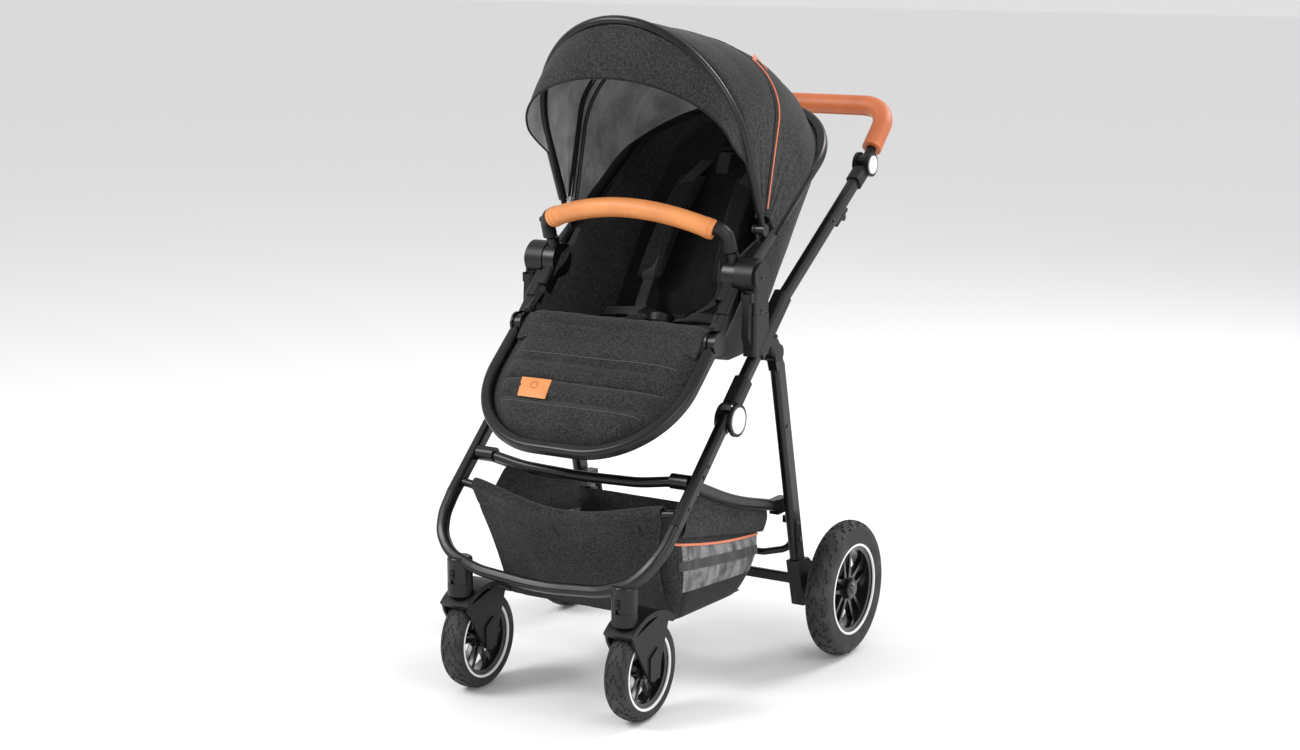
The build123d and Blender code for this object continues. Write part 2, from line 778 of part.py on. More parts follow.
def tub_block(half_width, floor_radius, wall):
    """The filled form of the hammock; its back is tangent to the floor's cylinder."""
    rise = 30.0 if wall else 0.0
    heel = polar(hub_y, hub_z, back_panel_angle - 90.0, floor_radius)
    head = polar(*heel, back_panel_angle, 445.0)
    crown = polar(*head, back_panel_angle + 90.0, 24.0 + rise)
    lip = (-154.0 + wall, 604.0 + 0.6 * wall)
    outline = [lip, (-96.0, 684.0 - floor_radius), (hub_y, 684.0 - floor_radius), heel, head, crown]
    outline = outline + [(-52.0, 690.0 + rise), (-140.0, 618.0 + rise)]
    block = yz_prism(outline, -half_width, half_width)
    drum = x_cylinder(floor_radius, -half_width, half_width, hub_y, hub_z)
    drum = drum & box_between((-200.0, -96.0, 400.0), (200.0, 200.0, 900.0))
    return (block + drum) & below_line(rise)


def below_line(rise):
    """The space under the seat's open side."""
    return yz_prism(
        [(-300.0, 560.0 + rise), (-140.0, 618.0 + rise), (-52.0, 690.0 + rise), (286.0, 918.0 + rise)]
        + [(500.0, 1000.0), (500.0, 400.0), (-300.0, 400.0)],
        -200.0,
        200.0,
    )


def sector(angle_from, angle_to, reach):
    """A wedge about the hub's axis."""
    steps = [angle_from + (angle_to - angle_from) * i / 4 for i in range(5)]
    points = [polar(hub_y, hub_z, angle, reach) for angle in steps]
    return yz_prism([(hub_y, hub_z)] + points, -200.0, 200.0)


def seat_cushion():
    """The fixed front of the hammock, nested inside the reclining back."""
    shell = tub(seat_half_width, seat_wall, seat_floor_radius)
    return shell & sector(-170.0, -44.0, 400.0)


def backrest_cushion():
    """The reclining back, trimmed to the inside of its tube loop."""
    shell = tub(tub_half_width, tub_wall, back_floor_radius)
    shell = shell & sector(-64.0, 62.0, 900.0)
    place = seat_plane(back_angle, hub_y, hub_z)
    half = seat_frame_x - seat_tube_width / 2 - 2.0
    length = back_length - seat_tube_width / 2 - 2.0
    window = loop_window(half, length, loop_corner - seat_tube_width / 2 - 2.0)
    room = extrude(place * window, 60.0) + extrude(place * window, -400.0)
    return shell & room


def loop_window(half_width, length, corner):
    """The flat area inside a loop of tube, open downwards by a generous length."""
    body = Pos(0, (length - 400.0) / 2) * Rectangle(2 * half_width, length + 400.0)
    tips = body.vertices().group_by(Axis.Y)[-1]
    return fillet(tips, corner)


def leg_cover():
    """The quilted cover that fills the calf loop."""
    place = seat_plane(calf_angle, knee_y, knee_z)
    half = 176.0
    low = Polyline((-half, 26.0), (-half, 90.0))
    arch = ThreePointArc((-half, 90.0), (0.0, 230.0), (half, 90.0))
    high = Polyline((half, 90.0), (half, 26.0), (-half, 26.0))
    face = make_face([low, arch, high])
    return extrude(place * face, 10.0) + extrude(place * face, -12.0)


# harness ----------------------------------------------------------------



def harness_straps():
    """Two shoulder straps with their pads lying on the backrest, and two lap straps."""
    low = polar(hub_y, hub_z, back_panel_angle - 90.0, back_floor_radius - tub_wall - 0.6)
    straps = []
    for x in (-52.0, 52.0):
        near = polar(*low, back_panel_angle, 80.0)
        far = polar(*low, back_panel_angle, 310.0)
        lift_near = polar(*near, back_panel_angle + 90.0, 6.0)
        lift_far = polar(*far, back_panel_angle + 90.0, 6.0)
        pad = bar((x, *lift_near), (x, *lift_far), 52.0, 12.0, 5.0)
        straps.append(pad)
    return straps


def harness_buckle():
    body = Pos(0, -20.0, 588.0) * Rot(-20, 0, 0) * Cylinder(26.0, 12.0)
    well = Pos(0, -20.0, 588.0) * Rot(-20, 0, 0) * Pos(0, 0, 4.0) * Cylinder(15.4, 5.0)
    return body - well


def buckle_button():
    return Pos(0, -20.0, 588.0) * Rot(-20, 0, 0) * Pos(0, 0, 6.2) * Cylinder(15.0, 5.0)


# bumper bar -------------------------------------------------------------


def bumper_path():
    foot = polar(hub_y, hub_z, bumper_arm_angle, 43.4)
    return [
        (bumper_half_width, *foot),
        (bumper_half_width, bumper_end_y + 8.0, bumper_end_z + 1.0),
        (120.0, bumper_mid_y + 9.0, bumper_mid_z - 8.0),
        (0.0, bumper_mid_y, bumper_mid_z),
        (-120.0, bumper_mid_y + 9.0, bumper_mid_z - 8.0),
        (-bumper_half_width, bumper_end_y + 8.0, bumper_end_z + 1.0),
        (-bumper_half_width, *foot),
    ]


def bumper_bar():
    tube = swept(bumper_path(), [18.0, 90.0, 900.0, 90.0, 18.0], Circle(8.0))
    for side in (-1, 1):
        x = side * bumper_half_width
        end = polar(hub_y, hub_z, bumper_arm_angle, 45.0)
        tip = polar(hub_y, hub_z, bumper_arm_angle, 29.0)
        tube = tube + rod((side * 176.0, *tip), (x, *end), 5.0)
    return tube


def bumper_cover():
    path = FilletPolyline(*bumper_path()[1:6], radius=[90.0, 900.0, 90.0])
    whole = swept(bumper_path(), [18.0, 90.0, 900.0, 90.0, 18.0], Circle(14.5) - Circle(8.0))
    keep = box_between((-158.0, -200.0, 700.0), (158.0, 0.0, 900.0))
    return whole & keep


# canopy -----------------------------------------------------------------


def arch_curve(half, reach, start):
    """Half of a bow seen along the pivot: straight legs and an elliptical top."""
    right = Line((half, start), (half, bow_spring))
    top = EllipticalCenterArc((0, bow_spring), half, reach - bow_spring, start_angle=0, arc_size=180)
    left = Line((-half, bow_spring), (-half, start))
    return right, top, left


def bow(angle, half, reach, radius, foot_from, foot_to, foot_radius):
    place = seat_plane(angle, canopy_y, canopy_z)
    path = place * Wire(arch_curve(half, reach, foot_radius - 2.0))
    start_plane = Plane(origin=path @ 0, z_dir=path % 0)
    tube = sweep(start_plane * Circle(radius), path=path)
    for side in (-1, 1):
        low, high = sorted((side * foot_from, side * foot_to))
        tube = tube + x_cylinder(foot_radius, low, high, canopy_y, canopy_z)
    hole = x_cylinder(3.5 + running_gap, -220.0, 220.0, canopy_y, canopy_z)
    return tube - hole


def canopy_front_bow():
    return bow(front_bow_angle, bow_half_width, bow_reach, bow_radius, 189.2, 199.0, 10.0)


def canopy_mid_bow():
    return bow(mid_bow_angle, 176.0, 334.0, 3.6, 176.4, 182.8, 9.0)


def panel(inset, reach, angle_from, angle_to, start=27.0):
    """A fabric panel turned about the pivot axis between two angles."""
    place = seat_plane(angle_from, canopy_y, canopy_z)
    outer = Wire(arch_curve(bow_half_width - inset, reach, start))
    inner = Wire(
        arch_curve(bow_half_width - inset - panel_wall, reach - panel_wall, start)
    )
    ends = [Line(outer @ 0, inner @ 0), Line(outer @ 1, inner @ 1)]
    face = make_face(outer.edges() + inner.edges() + [edge for line in ends for edge in line.edges()])
    axis = Axis((0.0, canopy_y, canopy_z), (1.0, 0.0, 0.0))
    return revolve(place * face, axis, angle_to - angle_from)


visor_angle = 16.0


def canopy_front_panel():
    inset = bow_radius + 0.8
    hood = panel(inset, panel_reach, 95.0, front_bow_angle + 2.0)
    visor = panel(inset, panel_reach, front_bow_angle + 1.5, front_bow_angle + visor_angle)
    above = box_between((-220.0, -500.0, canopy_z + 120.0), (220.0, 200.0, 1200.0))
    return hood + (visor & above)


def canopy_middle_panel():
    return panel(bow_radius + 0.8 + panel_step, panel_reach - 5.0, 65.0, 97.0)


def canopy_rear_panel():
    return panel(bow_radius + 0.8 + 2 * panel_step, panel_reach - 10.0, back_angle + 1.5, 67.0)


# everything -------------------------------------------------------------

side_pair("front_leg", front_leg)
save("front_crossbar", front_crossbar())
save("basket_front_tube", basket_front_tube())
side_pair("caster_fork", caster_fork)
side_pair("swivel_lock", swivel_lock)
side_pair("front_tyre", front_tyre)
side_pair("front_rim", front_rim)
side_pair("upper_tube", upper_tube)
side_pair("sleeve", sleeve)
side_pair("fold_joint", fold_joint)
left_cap = fold_cap()
save("fold_joint_caps", left_cap, mirror(left_cap, about=Plane.YZ))
side_pair("handle_joint", handle_joint)
side_pair("fold_trigger", fold_trigger)
side_pair("handle_button", handle_button)
save("handle_bar", handle_bar())
save("handle_grip", handle_grip())
side_pair("rear_leg", rear_leg)
save("brake_bar", brake_bar())
save("brake_pedal", brake_pedal())
save("rear_cross_tube", rear_cross_tube())
side_pair("rear_tyre", rear_tyre)
side_pair("rear_rim", rear_rim)
save("basket_frame", basket_frame())
save("basket", basket())
side_pair("seat_adapter", seat_adapter)
side_pair("release_flap", release_flap)
side_pair("seat_rail", seat_rail)
save("backrest_frame", backrest_frame())
save("calf_frame", calf_frame())
save("seat_cushion", seat_cushion())
save("backrest_cushion", backrest_cushion())
save("leg_cover", leg_cover())
save("harness_straps", *harness_straps())
save("harness_buckle", harness_buckle())
save("buckle_button", buckle_button())
save("bumper_bar", bumper_bar())
save("bumper_cover", bumper_cover())
save("canopy_front_bow", canopy_front_bow())
save("canopy_mid_bow", canopy_mid_bow())
save("canopy_front_panel", canopy_front_panel())
save("canopy_middle_panel", canopy_middle_panel())
save("canopy_rear_panel", canopy_rear_panel())
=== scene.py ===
import json
import math
import bpy
from mathutils import Matrix, Vector, noise


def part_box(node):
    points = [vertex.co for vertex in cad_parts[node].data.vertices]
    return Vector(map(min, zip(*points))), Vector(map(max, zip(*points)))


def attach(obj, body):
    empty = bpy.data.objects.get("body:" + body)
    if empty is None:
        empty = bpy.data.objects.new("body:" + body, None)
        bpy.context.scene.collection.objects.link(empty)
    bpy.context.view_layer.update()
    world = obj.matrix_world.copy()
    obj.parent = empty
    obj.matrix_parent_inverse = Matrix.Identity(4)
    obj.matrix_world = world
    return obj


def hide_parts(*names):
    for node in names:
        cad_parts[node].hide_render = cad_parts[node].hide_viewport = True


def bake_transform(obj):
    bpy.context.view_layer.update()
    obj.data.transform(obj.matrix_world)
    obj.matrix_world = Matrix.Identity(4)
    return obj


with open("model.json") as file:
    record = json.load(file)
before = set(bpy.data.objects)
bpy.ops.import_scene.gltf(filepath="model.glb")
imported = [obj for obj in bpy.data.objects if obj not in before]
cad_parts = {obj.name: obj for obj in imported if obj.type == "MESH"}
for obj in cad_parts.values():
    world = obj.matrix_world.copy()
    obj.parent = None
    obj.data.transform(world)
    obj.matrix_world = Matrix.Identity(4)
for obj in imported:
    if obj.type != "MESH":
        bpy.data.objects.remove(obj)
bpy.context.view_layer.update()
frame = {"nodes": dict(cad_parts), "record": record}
record = frame["record"]
jointPlace = {joint["name"]: joint.get("pos_m") for joint in record["behaviour"]["joints"]}


# small helpers

def only(piece):  # the one selected, active object
    bpy.ops.object.select_all(action="DESELECT")
    piece.select_set(True)
    bpy.context.view_layer.objects.active = piece
    return piece


def named(piece, name):
    piece.name = name
    piece.data.name = name
    return piece


def settle(piece, smooth=40):  # the place goes into the mesh, the shading is smoothed
    only(piece)
    bpy.ops.object.transform_apply(location=True, rotation=True, scale=True)
    bpy.ops.object.shade_smooth_by_angle(angle=math.radians(smooth))
    return piece


def finishWith(piece, kind, **settings):  # adds a modifier and applies it
    only(piece)
    modifier = piece.modifiers.new(kind.title(), kind)
    for key, value in settings.items():
        setattr(modifier, key, value)
    bpy.ops.object.modifier_apply(modifier=modifier.name)
    return piece


def copyOf(piece, name):
    twin = piece.copy()
    twin.data = piece.data.copy()
    bpy.context.collection.objects.link(twin)
    return named(twin, name)


def joined(pieces, name):
    bpy.ops.object.select_all(action="DESELECT")
    for piece in pieces:
        piece.select_set(True)
    bpy.context.view_layer.objects.active = pieces[0]
    bpy.ops.object.join()
    return named(bpy.context.object, name)


def cleaned(piece, distance=0.0001):  # doubles merged, faces turned outwards
    only(piece)
    bpy.ops.object.mode_set(mode="EDIT")
    bpy.ops.mesh.select_all(action="SELECT")
    bpy.ops.mesh.remove_doubles(threshold=distance)
    bpy.ops.mesh.normals_make_consistent(inside=False)
    bpy.ops.object.mode_set(mode="OBJECT")
    return piece


def dress(piece, *materials):
    piece.data.materials.clear()
    for material in materials:
        piece.data.materials.append(material)
    return piece


def clothGrid(name, across, along, place):  # a grid primitive laid out by place(u, v)
    bpy.ops.object.select_all(action="DESELECT")
    bpy.ops.mesh.primitive_grid_add(x_subdivisions=across, y_subdivisions=along, size=1)
    piece = bpy.context.object
    for vertex in piece.data.vertices:
        vertex.co = place(vertex.co.x + 0.5, vertex.co.y + 0.5)
    return named(piece, name)


def faceAway(piece, outward):  # turns an open sheet's faces to the side outward(place) points to
    lean = sum(face.normal.dot(outward(face.center)) * face.area for face in piece.data.polygons)
    if lean < 0:
        only(piece)
        bpy.ops.object.mode_set(mode="EDIT")
        bpy.ops.mesh.select_all(action="SELECT")
        bpy.ops.mesh.flip_normals()
        bpy.ops.object.mode_set(mode="OBJECT")
    return piece


def paintFaces(piece, pick):  # a material for each face from its place on the sheet's own map
    maps = piece.data.uv_layers[0].data
    for face in piece.data.polygons:
        corners = [maps[corner].uv for corner in face.loop_indices]
        u = sum(corner[0] for corner in corners) / len(corners)
        v = sum(corner[1] for corner in corners) / len(corners)
        face.material_index = pick(u, v)
    return piece


def clothArea(piece):
    return sum(face.area for face in piece.data.polygons)


def mix(a, b, t):
    return a + (b - a) * t


def ease(low, high, value):
    t = min(max((value - low) / (high - low), 0.0), 1.0)
    return t * t * (3 - 2 * t)


def between(keys, at):  # smooth values from (position, value, value...) rows
    if at <= keys[0][0]:
        return list(keys[0][1:])
    for low, high in zip(keys, keys[1:]):
        if at <= high[0]:
            t = (at - low[0]) / (high[0] - low[0])
            t = mix(t, t * t * (3 - 2 * t), 0.35)
            return [mix(a, b, t) for a, b in zip(low[1:], high[1:])]
    return list(keys[-1][1:])


def flowing(points, count):  # evenly numbered points on a smooth line through the given ones
    points = [Vector(p) for p in points]
    line = [points[0] * 2 - points[1]] + points + [points[-1] * 2 - points[-2]]
    result = []
    for index in range(count):
        at = index / (count - 1) * (len(points) - 1)
        step = min(int(at), len(points) - 2)
        t = at - step
        a, b, c, d = line[step:step + 4]
        result.append(0.5 * (2 * b + (c - a) * t + (2 * a - 5 * b + 4 * c - d) * t * t
                             + (3 * b - a - 3 * c + d) * t * t * t))
    return result


def tubeAlong(name, route, radius, material, sides=4, closed=False):
    curve = bpy.data.curves.new(name, "CURVE")
    curve.dimensions = "3D"
    curve.bevel_depth = radius
    curve.bevel_resolution = sides
    curve.use_fill_caps = not closed
    line = curve.splines.new("POLY")
    line.points.add(len(route) - 1)
    for point, place in zip(line.points, route):
        point.co = (*place, 1)
    line.use_cyclic_u = closed
    piece = bpy.data.objects.new(name, curve)
    bpy.context.collection.objects.link(piece)
    only(piece)
    bpy.ops.object.convert(target="MESH")
    piece = bpy.context.object
    bpy.ops.object.shade_smooth_by_angle(angle=math.radians(50))
    return dress(named(piece, name), material)


def strapAlong(name, route, side, width, thick, material, rounding=0.0006):
    # a flat strap; side is the direction across it, fixed or one for each point
    sides = side if isinstance(side, list) else [Vector(side)] * len(route)
    last = len(route) - 1

    def place(u, v):
        index = round(v * last)
        return route[index] + sides[index].normalized() * (u - 0.5) * width
    piece = clothGrid(name, 4, last, place)
    finishWith(piece, "SOLIDIFY", thickness=thick, offset=0)
    finishWith(piece, "BEVEL", width=rounding, segments=2, limit_method="ANGLE")
    return dress(settle(piece, 50), material)


# materials

class Flow:  # a socket of one material; patterns are written as sums of these
    def __init__(self, tree, socket=None):
        self.tree = tree
        self.socket = socket

    def node(self, kind, settings=None, inputs=None, out=0):
        made = self.tree.nodes.new(kind)
        for key, value in (settings or {}).items():
            if key == "stops":
                while len(made.color_ramp.elements) < len(value):
                    made.color_ramp.elements.new(0.5)
                for element, (position, colour) in zip(made.color_ramp.elements, value):
                    element.position = position
                    element.color = colour
            else:
                setattr(made, key, value)
        for key, value in (inputs or {}).items():
            if isinstance(value, Flow):
                self.tree.links.new(value.socket, made.inputs[key])
            else:
                made.inputs[key].default_value = value
        return Flow(self.tree, made.outputs[out])

    def sum(self, operation, first, second=0.0):
        return self.node("ShaderNodeMath", {"operation": operation}, {0: first, 1: second})

    def __add__(self, other):
        return self.sum("ADD", self, other)

    def __sub__(self, other):
        return self.sum("SUBTRACT", self, other)

    def __rsub__(self, other):
        return self.sum("SUBTRACT", other, self)

    def __mul__(self, other):
        return self.sum("MULTIPLY", self, other)

    __radd__ = __add__
    __rmul__ = __mul__

    def soft(self, low, high):  # 0 to 1 between two levels
        return self.node("ShaderNodeMapRange", {"interpolation_type": "SMOOTHSTEP"},
                         {"Value": self, "From Min": low, "From Max": high})

    def tint(self, low, high):  # a colour between two by this mask
        return self.node("ShaderNodeMix", {"data_type": "RGBA"},
                         {"Factor": self, 6: (*low, 1), 7: (*high, 1)}, 2)


def startMaterial(name):
    material = bpy.data.materials.new(name)
    material.use_nodes = True
    flow = Flow(material.node_tree)
    flow.shader = material.node_tree.nodes["Principled BSDF"]
    flow.place = flow.node("ShaderNodeTexCoord", out="Object")
    flow.sheet = flow.node("ShaderNodeTexCoord", out="UV")
    flow.material = material
    return flow


def stretched(flow, scale, turn=(0, 0, 0), source=None):
    return flow.node("ShaderNodeMapping", {}, {"Vector": source or flow.place, "Scale": scale,
                                               "Rotation": turn})


def grain(flow, scale, detail=2.0, source=None, rough=0.5):
    return flow.node("ShaderNodeTexNoise", {},
                     {"Vector": source or flow.place, "Scale": scale, "Detail": detail,
                      "Roughness": rough})


def complete(flow, bump=None, depth=0.0005, strength=0.6, **sockets):
    for key, value in sockets.items():
        socket = flow.shader.inputs[key.replace("_", " ")]
        if isinstance(value, Flow):
            flow.tree.links.new(value.socket, socket)
        else:
            socket.default_value = (*value, 1) if isinstance(value, tuple) else value
    if bump is not None:
        raised = flow.node("ShaderNodeBump", {}, {"Height": bump, "Distance": depth,
                                                  "Strength": strength})
        flow.tree.links.new(raised.socket, flow.shader.inputs["Normal"])
    return flow.material


def makeCoated(name, dark, light, rough, coat):  # coated tube and mouldings
    flow = startMaterial(name)
    fine = grain(flow, 900, 2)
    cloudy = grain(flow, 14, 3)
    return complete(flow, bump=fine, depth=0.0002, strength=0.18,
                    Base_Color=cloudy.soft(0.35, 0.7).tint(dark, light),
                    Roughness=cloudy * 0.12 + (rough - 0.06) + fine * 0.04,
                    Specular_IOR_Level=0.32, Coat_Weight=coat, Coat_Roughness=0.25)


def makeMelange(name, dark, light, thread=0.0009, rough=0.92, sheen=0.10):
    # crossing threads of two greys, with longer slubs among them
    flow = startMaterial(name)
    pitch = 1 / thread
    warp = grain(flow, 1.0, 2, stretched(flow, (pitch * 1.1, pitch * 0.16, pitch * 0.16)))
    weft = grain(flow, 1.0, 2, stretched(flow, (pitch * 0.13, pitch * 0.8, pitch * 0.8)))
    fleck = grain(flow, pitch * 0.55, 3)
    broad = grain(flow, 9, 3)
    mask = (warp * 0.4 + weft * 0.35 + fleck * 0.35 + broad * 0.12).soft(0.48, 0.76)
    weave = warp * 0.5 + weft * 0.5 + grain(flow, pitch * 1.2, 1) * 0.4
    return complete(flow, bump=weave, depth=0.0007, strength=0.55,
                    Base_Color=mask.tint(dark, light), Roughness=rough,
                    Sheen_Weight=sheen, Sheen_Roughness=0.5, Specular_IOR_Level=0.12)


def makeLeather(name, base, dark, wear=0.5):
    flow = startMaterial(name)
    cells = flow.node("ShaderNodeTexVoronoi", {"feature": "DISTANCE_TO_EDGE"},
                      {"Vector": flow.place, "Scale": 620})
    pores = grain(flow, 1500, 2)
    cloudy = grain(flow, 18, 4)
    creases = grain(flow, 1.0, 4, stretched(flow, (160, 25, 25)))
    body = cloudy.soft(0.3, 0.75) * 0.7 + pores * 0.2
    return complete(flow, bump=cells.soft(0.0, 0.35) + pores * 0.35 + creases * 0.5,
                    depth=0.0004, strength=0.35, Base_Color=body.tint(dark, base),
                    Roughness=cloudy * 0.2 + 0.36, Specular_IOR_Level=0.45,
                    Coat_Weight=0.12, Coat_Roughness=0.35)


def makeLining():
    # thin coated cloth, crinkled by folding
    flow = startMaterial("silverLining")
    wide = grain(flow, 16, 5, rough=0.55)
    ridged = flow.node("ShaderNodeTexNoise", {"noise_type": "RIDGED_MULTIFRACTAL"},
                       {"Vector": stretched(flow, (9, 22, 13)), "Scale": 1.2, "Detail": 4.0})
    fine = grain(flow, 70, 3)
    return complete(flow, bump=wide * 0.7 + ridged * 0.35 + fine * 0.15, depth=0.012,
                    strength=0.8, Base_Color=wide.soft(0.3, 0.7).tint((0.36, 0.365, 0.375),
                                                                      (0.68, 0.685, 0.70)),
                    Roughness=fine * 0.15 + 0.32, Metallic=0.35, Specular_IOR_Level=0.6)


def makeRibbed(name, dark, light, pitch=0.0016, axis=2, rough=0.75):
    # narrow ribs across a strap or an elastic
    flow = startMaterial(name)
    turn = {0: (0, 0, 0), 1: (0, 0, math.pi / 2), 2: (0, math.pi / 2, 0)}[axis]
    ribs = flow.node("ShaderNodeTexWave", {"wave_type": "BANDS"},
                     {"Vector": stretched(flow, (1, 1, 1), turn), "Scale": 0.32 / pitch,
                      "Distortion": 0.4})
    fleck = grain(flow, 1100, 2)
    return complete(flow, bump=ribs * 0.7 + fleck * 0.4, depth=0.0005, strength=0.5,
                    Base_Color=(ribs * 0.6 + fleck * 0.5).tint(dark, light), Roughness=rough,
                    Sheen_Weight=0.15)


def makeNet():
    # open net: threads around small holes, in the object's own coordinates
    flow = startMaterial("greyNet")
    cells = flow.node("ShaderNodeTexVoronoi", {"feature": "DISTANCE_TO_EDGE"},
                      {"Vector": flow.place, "Scale": 330})
    wide = grain(flow, 40, 4)
    ridged = grain(flow, 1.0, 4, stretched(flow, (60, 60, 14)))
    holes = cells.soft(0.16, 0.24)
    light = (wide * 0.6 + ridged * 0.6).soft(0.35, 0.8)
    return complete(flow, bump=1 - holes, depth=0.0005, strength=0.6,
                    Base_Color=light.tint((0.045, 0.045, 0.047), (0.30, 0.30, 0.31)),
                    Roughness=0.7, Alpha=1 - holes * 0.72)


def makeRubber():
    flow = startMaterial("tyreRubber")
    dust = grain(flow, 30, 5)
    fine = grain(flow, 700, 2)
    return complete(flow, bump=fine + dust * 0.4, depth=0.0004, strength=0.3,
                    Base_Color=dust.soft(0.4, 0.8).tint((0.012, 0.012, 0.013),
                                                        (0.038, 0.038, 0.039)),
                    Roughness=fine * 0.12 + 0.62)


tubeBlack = makeCoated("tubeBlack", (0.0025, 0.0025, 0.003), (0.0055, 0.0055, 0.006), 0.30, 0.12)
mouldBlack = makeCoated("mouldBlack", (0.004, 0.004, 0.0043), (0.0085, 0.0085, 0.009), 0.44, 0.04)
glossBlack = makeCoated("glossBlack", (0.004, 0.004, 0.0045), (0.007, 0.007, 0.0075), 0.16, 0.6)
capWhite = makeCoated("capWhite", (0.70, 0.70, 0.68), (0.78, 0.78, 0.76), 0.42, 0.1)
ringWhite = makeCoated("ringWhite", (0.80, 0.80, 0.79), (0.86, 0.86, 0.85), 0.35, 0.1)
tanLeather = makeLeather("tanLeather", (0.74, 0.285, 0.085), (0.60, 0.21, 0.058))
gripLeather = makeLeather("gripLeather", (0.60, 0.165, 0.05), (0.47, 0.115, 0.035))
threadTan = makeRibbed("threadTan", (0.42, 0.13, 0.05), (0.60, 0.22, 0.09), 0.0008)
melange = makeMelange("melange", (0.0065, 0.0065, 0.0068), (0.052, 0.052, 0.0535))
melangeDark = makeMelange("melangeDark", (0.0045, 0.0045, 0.0048), (0.026, 0.026, 0.027))
seatBlack = makeMelange("seatBlack", (0.0048, 0.0048, 0.0051), (0.021, 0.021, 0.0215), sheen=0.10)
lining = makeLining()
webbing = makeRibbed("webbing", (0.006, 0.006, 0.006), (0.022, 0.022, 0.023))
elastic = makeRibbed("elastic", (0.008, 0.008, 0.008), (0.05, 0.05, 0.052), 0.0013, 0)
coral = makeRibbed("coral", (0.62, 0.15, 0.075), (0.85, 0.26, 0.14), 0.001)
threadDark = makeRibbed("threadDark", (0.03, 0.03, 0.03), (0.09, 0.09, 0.09), 0.0008)
net = makeNet()
rubber = makeRubber()
print("materials made")


# the frame's own pieces take their finishes

finishOf = {"frame_tube": tubeBlack, "black_plastic": mouldBlack, "white_plastic": capWhite,
            "rim": glossBlack, "tyre": rubber, "leather": tanLeather}
for entry in record["subparts"]:
    part = frame["nodes"].get(entry["node"])
    if part and entry["material_slot"] in finishOf:
        part.data.materials.clear()
        part.data.materials.append(finishOf[entry["material_slot"]])
        only(part)
        bpy.ops.object.shade_smooth_by_angle(angle=math.radians(32))


# camera, light and floor

studio = {"cameraPlace": (1.966, -3.260, 1.2376), "azimuth": 31.55, "elevation": -11.16,
          "lens": 62.4, "worldLight": 0.75, "keyPower": 95, "fillPower": 40, "rimPower": 60}
bpy.ops.object.camera_add(location=studio["cameraPlace"],
                          rotation=(math.radians(90 + studio["elevation"]), 0,
                                    math.radians(studio["azimuth"])))
camera = bpy.context.object
camera.name = "camera"
camera.data.lens = studio["lens"]
camera.data.sensor_width = 36
bpy.context.scene.camera = camera


def areaLight(name, place, size, power):
    bpy.ops.object.light_add(type="AREA", location=place)
    light = bpy.context.object
    light.name = name
    light.data.size = size
    light.data.energy = power
    light.rotation_euler = (Vector((0, 0, 0.55)) - Vector(place)).to_track_quat("-Z", "Y").to_euler()


areaLight("keyLight", (-1.9, -2.6, 2.9), 1.6, studio["keyPower"])
areaLight("fillLight", (3.0, -1.2, 1.6), 2.2, studio["fillPower"])
areaLight("rimLight", (1.4, 2.6, 2.6), 1.4, studio["rimPower"])
bpy.context.scene.view_settings.view_transform = "Standard"
world = bpy.data.worlds.new("studioWorld")
bpy.context.scene.world = world
world.use_nodes = True
world.node_tree.nodes["Background"].inputs["Color"].default_value = (1, 1, 1, 1)
world.node_tree.nodes["Background"].inputs["Strength"].default_value = studio["worldLight"]
bpy.ops.mesh.primitive_plane_add(size=60)
floor = named(bpy.context.object, "studioFloor")
floorFlow = startMaterial("paleFloor")
dress(floor, complete(floorFlow, Base_Color=(0.93, 0.93, 0.93), Roughness=0.9))
print("studio set")


# wheels

wheelSizes = {
    "front": {"x": 0.159, "body": "_front_wheel", "rim": 0.0592, "ring": 0.0627, "steps": 72,
              "grooves": 0.0016},
    "rear": {"x": 0.283, "body": "_rear_wheel", "rim": 0.0742, "ring": 0.0775, "steps": 96,
             "grooves": 0.0022},
}


def profilePoints(size, radius, half):
    # tyre outline from one bead over the tread to the other: (across, out)
    rim = size["rim"]
    shoulder = (radius + rim) / 2 + 0.003
    points = [(-half * 0.62, rim + 0.0004), (-half * 0.90, rim + 0.004), (-half * 0.985, shoulder - 0.006)]
    for index in range(-7, 8):
        angle = index / 7 * math.radians(84)
        points.append((half * math.sin(angle), shoulder + (radius - shoulder) * math.cos(angle)))
    points += [(half * 0.985, shoulder - 0.006), (half * 0.90, rim + 0.004), (half * 0.62, rim + 0.0004)]
    return points


def spun(points, centre, steps, name):  # turns an outline (across, out) about the wheel's axis
    bpy.ops.object.select_all(action="DESELECT")
    bpy.ops.mesh.primitive_circle_add(vertices=len(points), radius=0.01, location=(0, 0, 0))
    piece = named(bpy.context.object, name)
    for vertex, (across, out) in zip(piece.data.vertices, points):
        vertex.co = (centre[0] + across, centre[1], centre[2] + out)
    bpy.ops.object.mode_set(mode="EDIT")
    bpy.ops.mesh.select_all(action="SELECT")
    bpy.ops.mesh.spin(steps=steps, angle=2 * math.pi, center=centre, axis=(1, 0, 0))
    bpy.ops.object.mode_set(mode="OBJECT")
    return cleaned(piece)


def selectFaces(piece, wanted):
    only(piece)
    bpy.ops.object.mode_set(mode="EDIT")
    bpy.ops.mesh.select_mode(type="FACE")
    bpy.ops.mesh.select_all(action="DESELECT")
    bpy.ops.object.mode_set(mode="OBJECT")
    for face in piece.data.polygons:
        face.select = bool(wanted(face.center, face.normal))
    bpy.ops.object.mode_set(mode="EDIT")


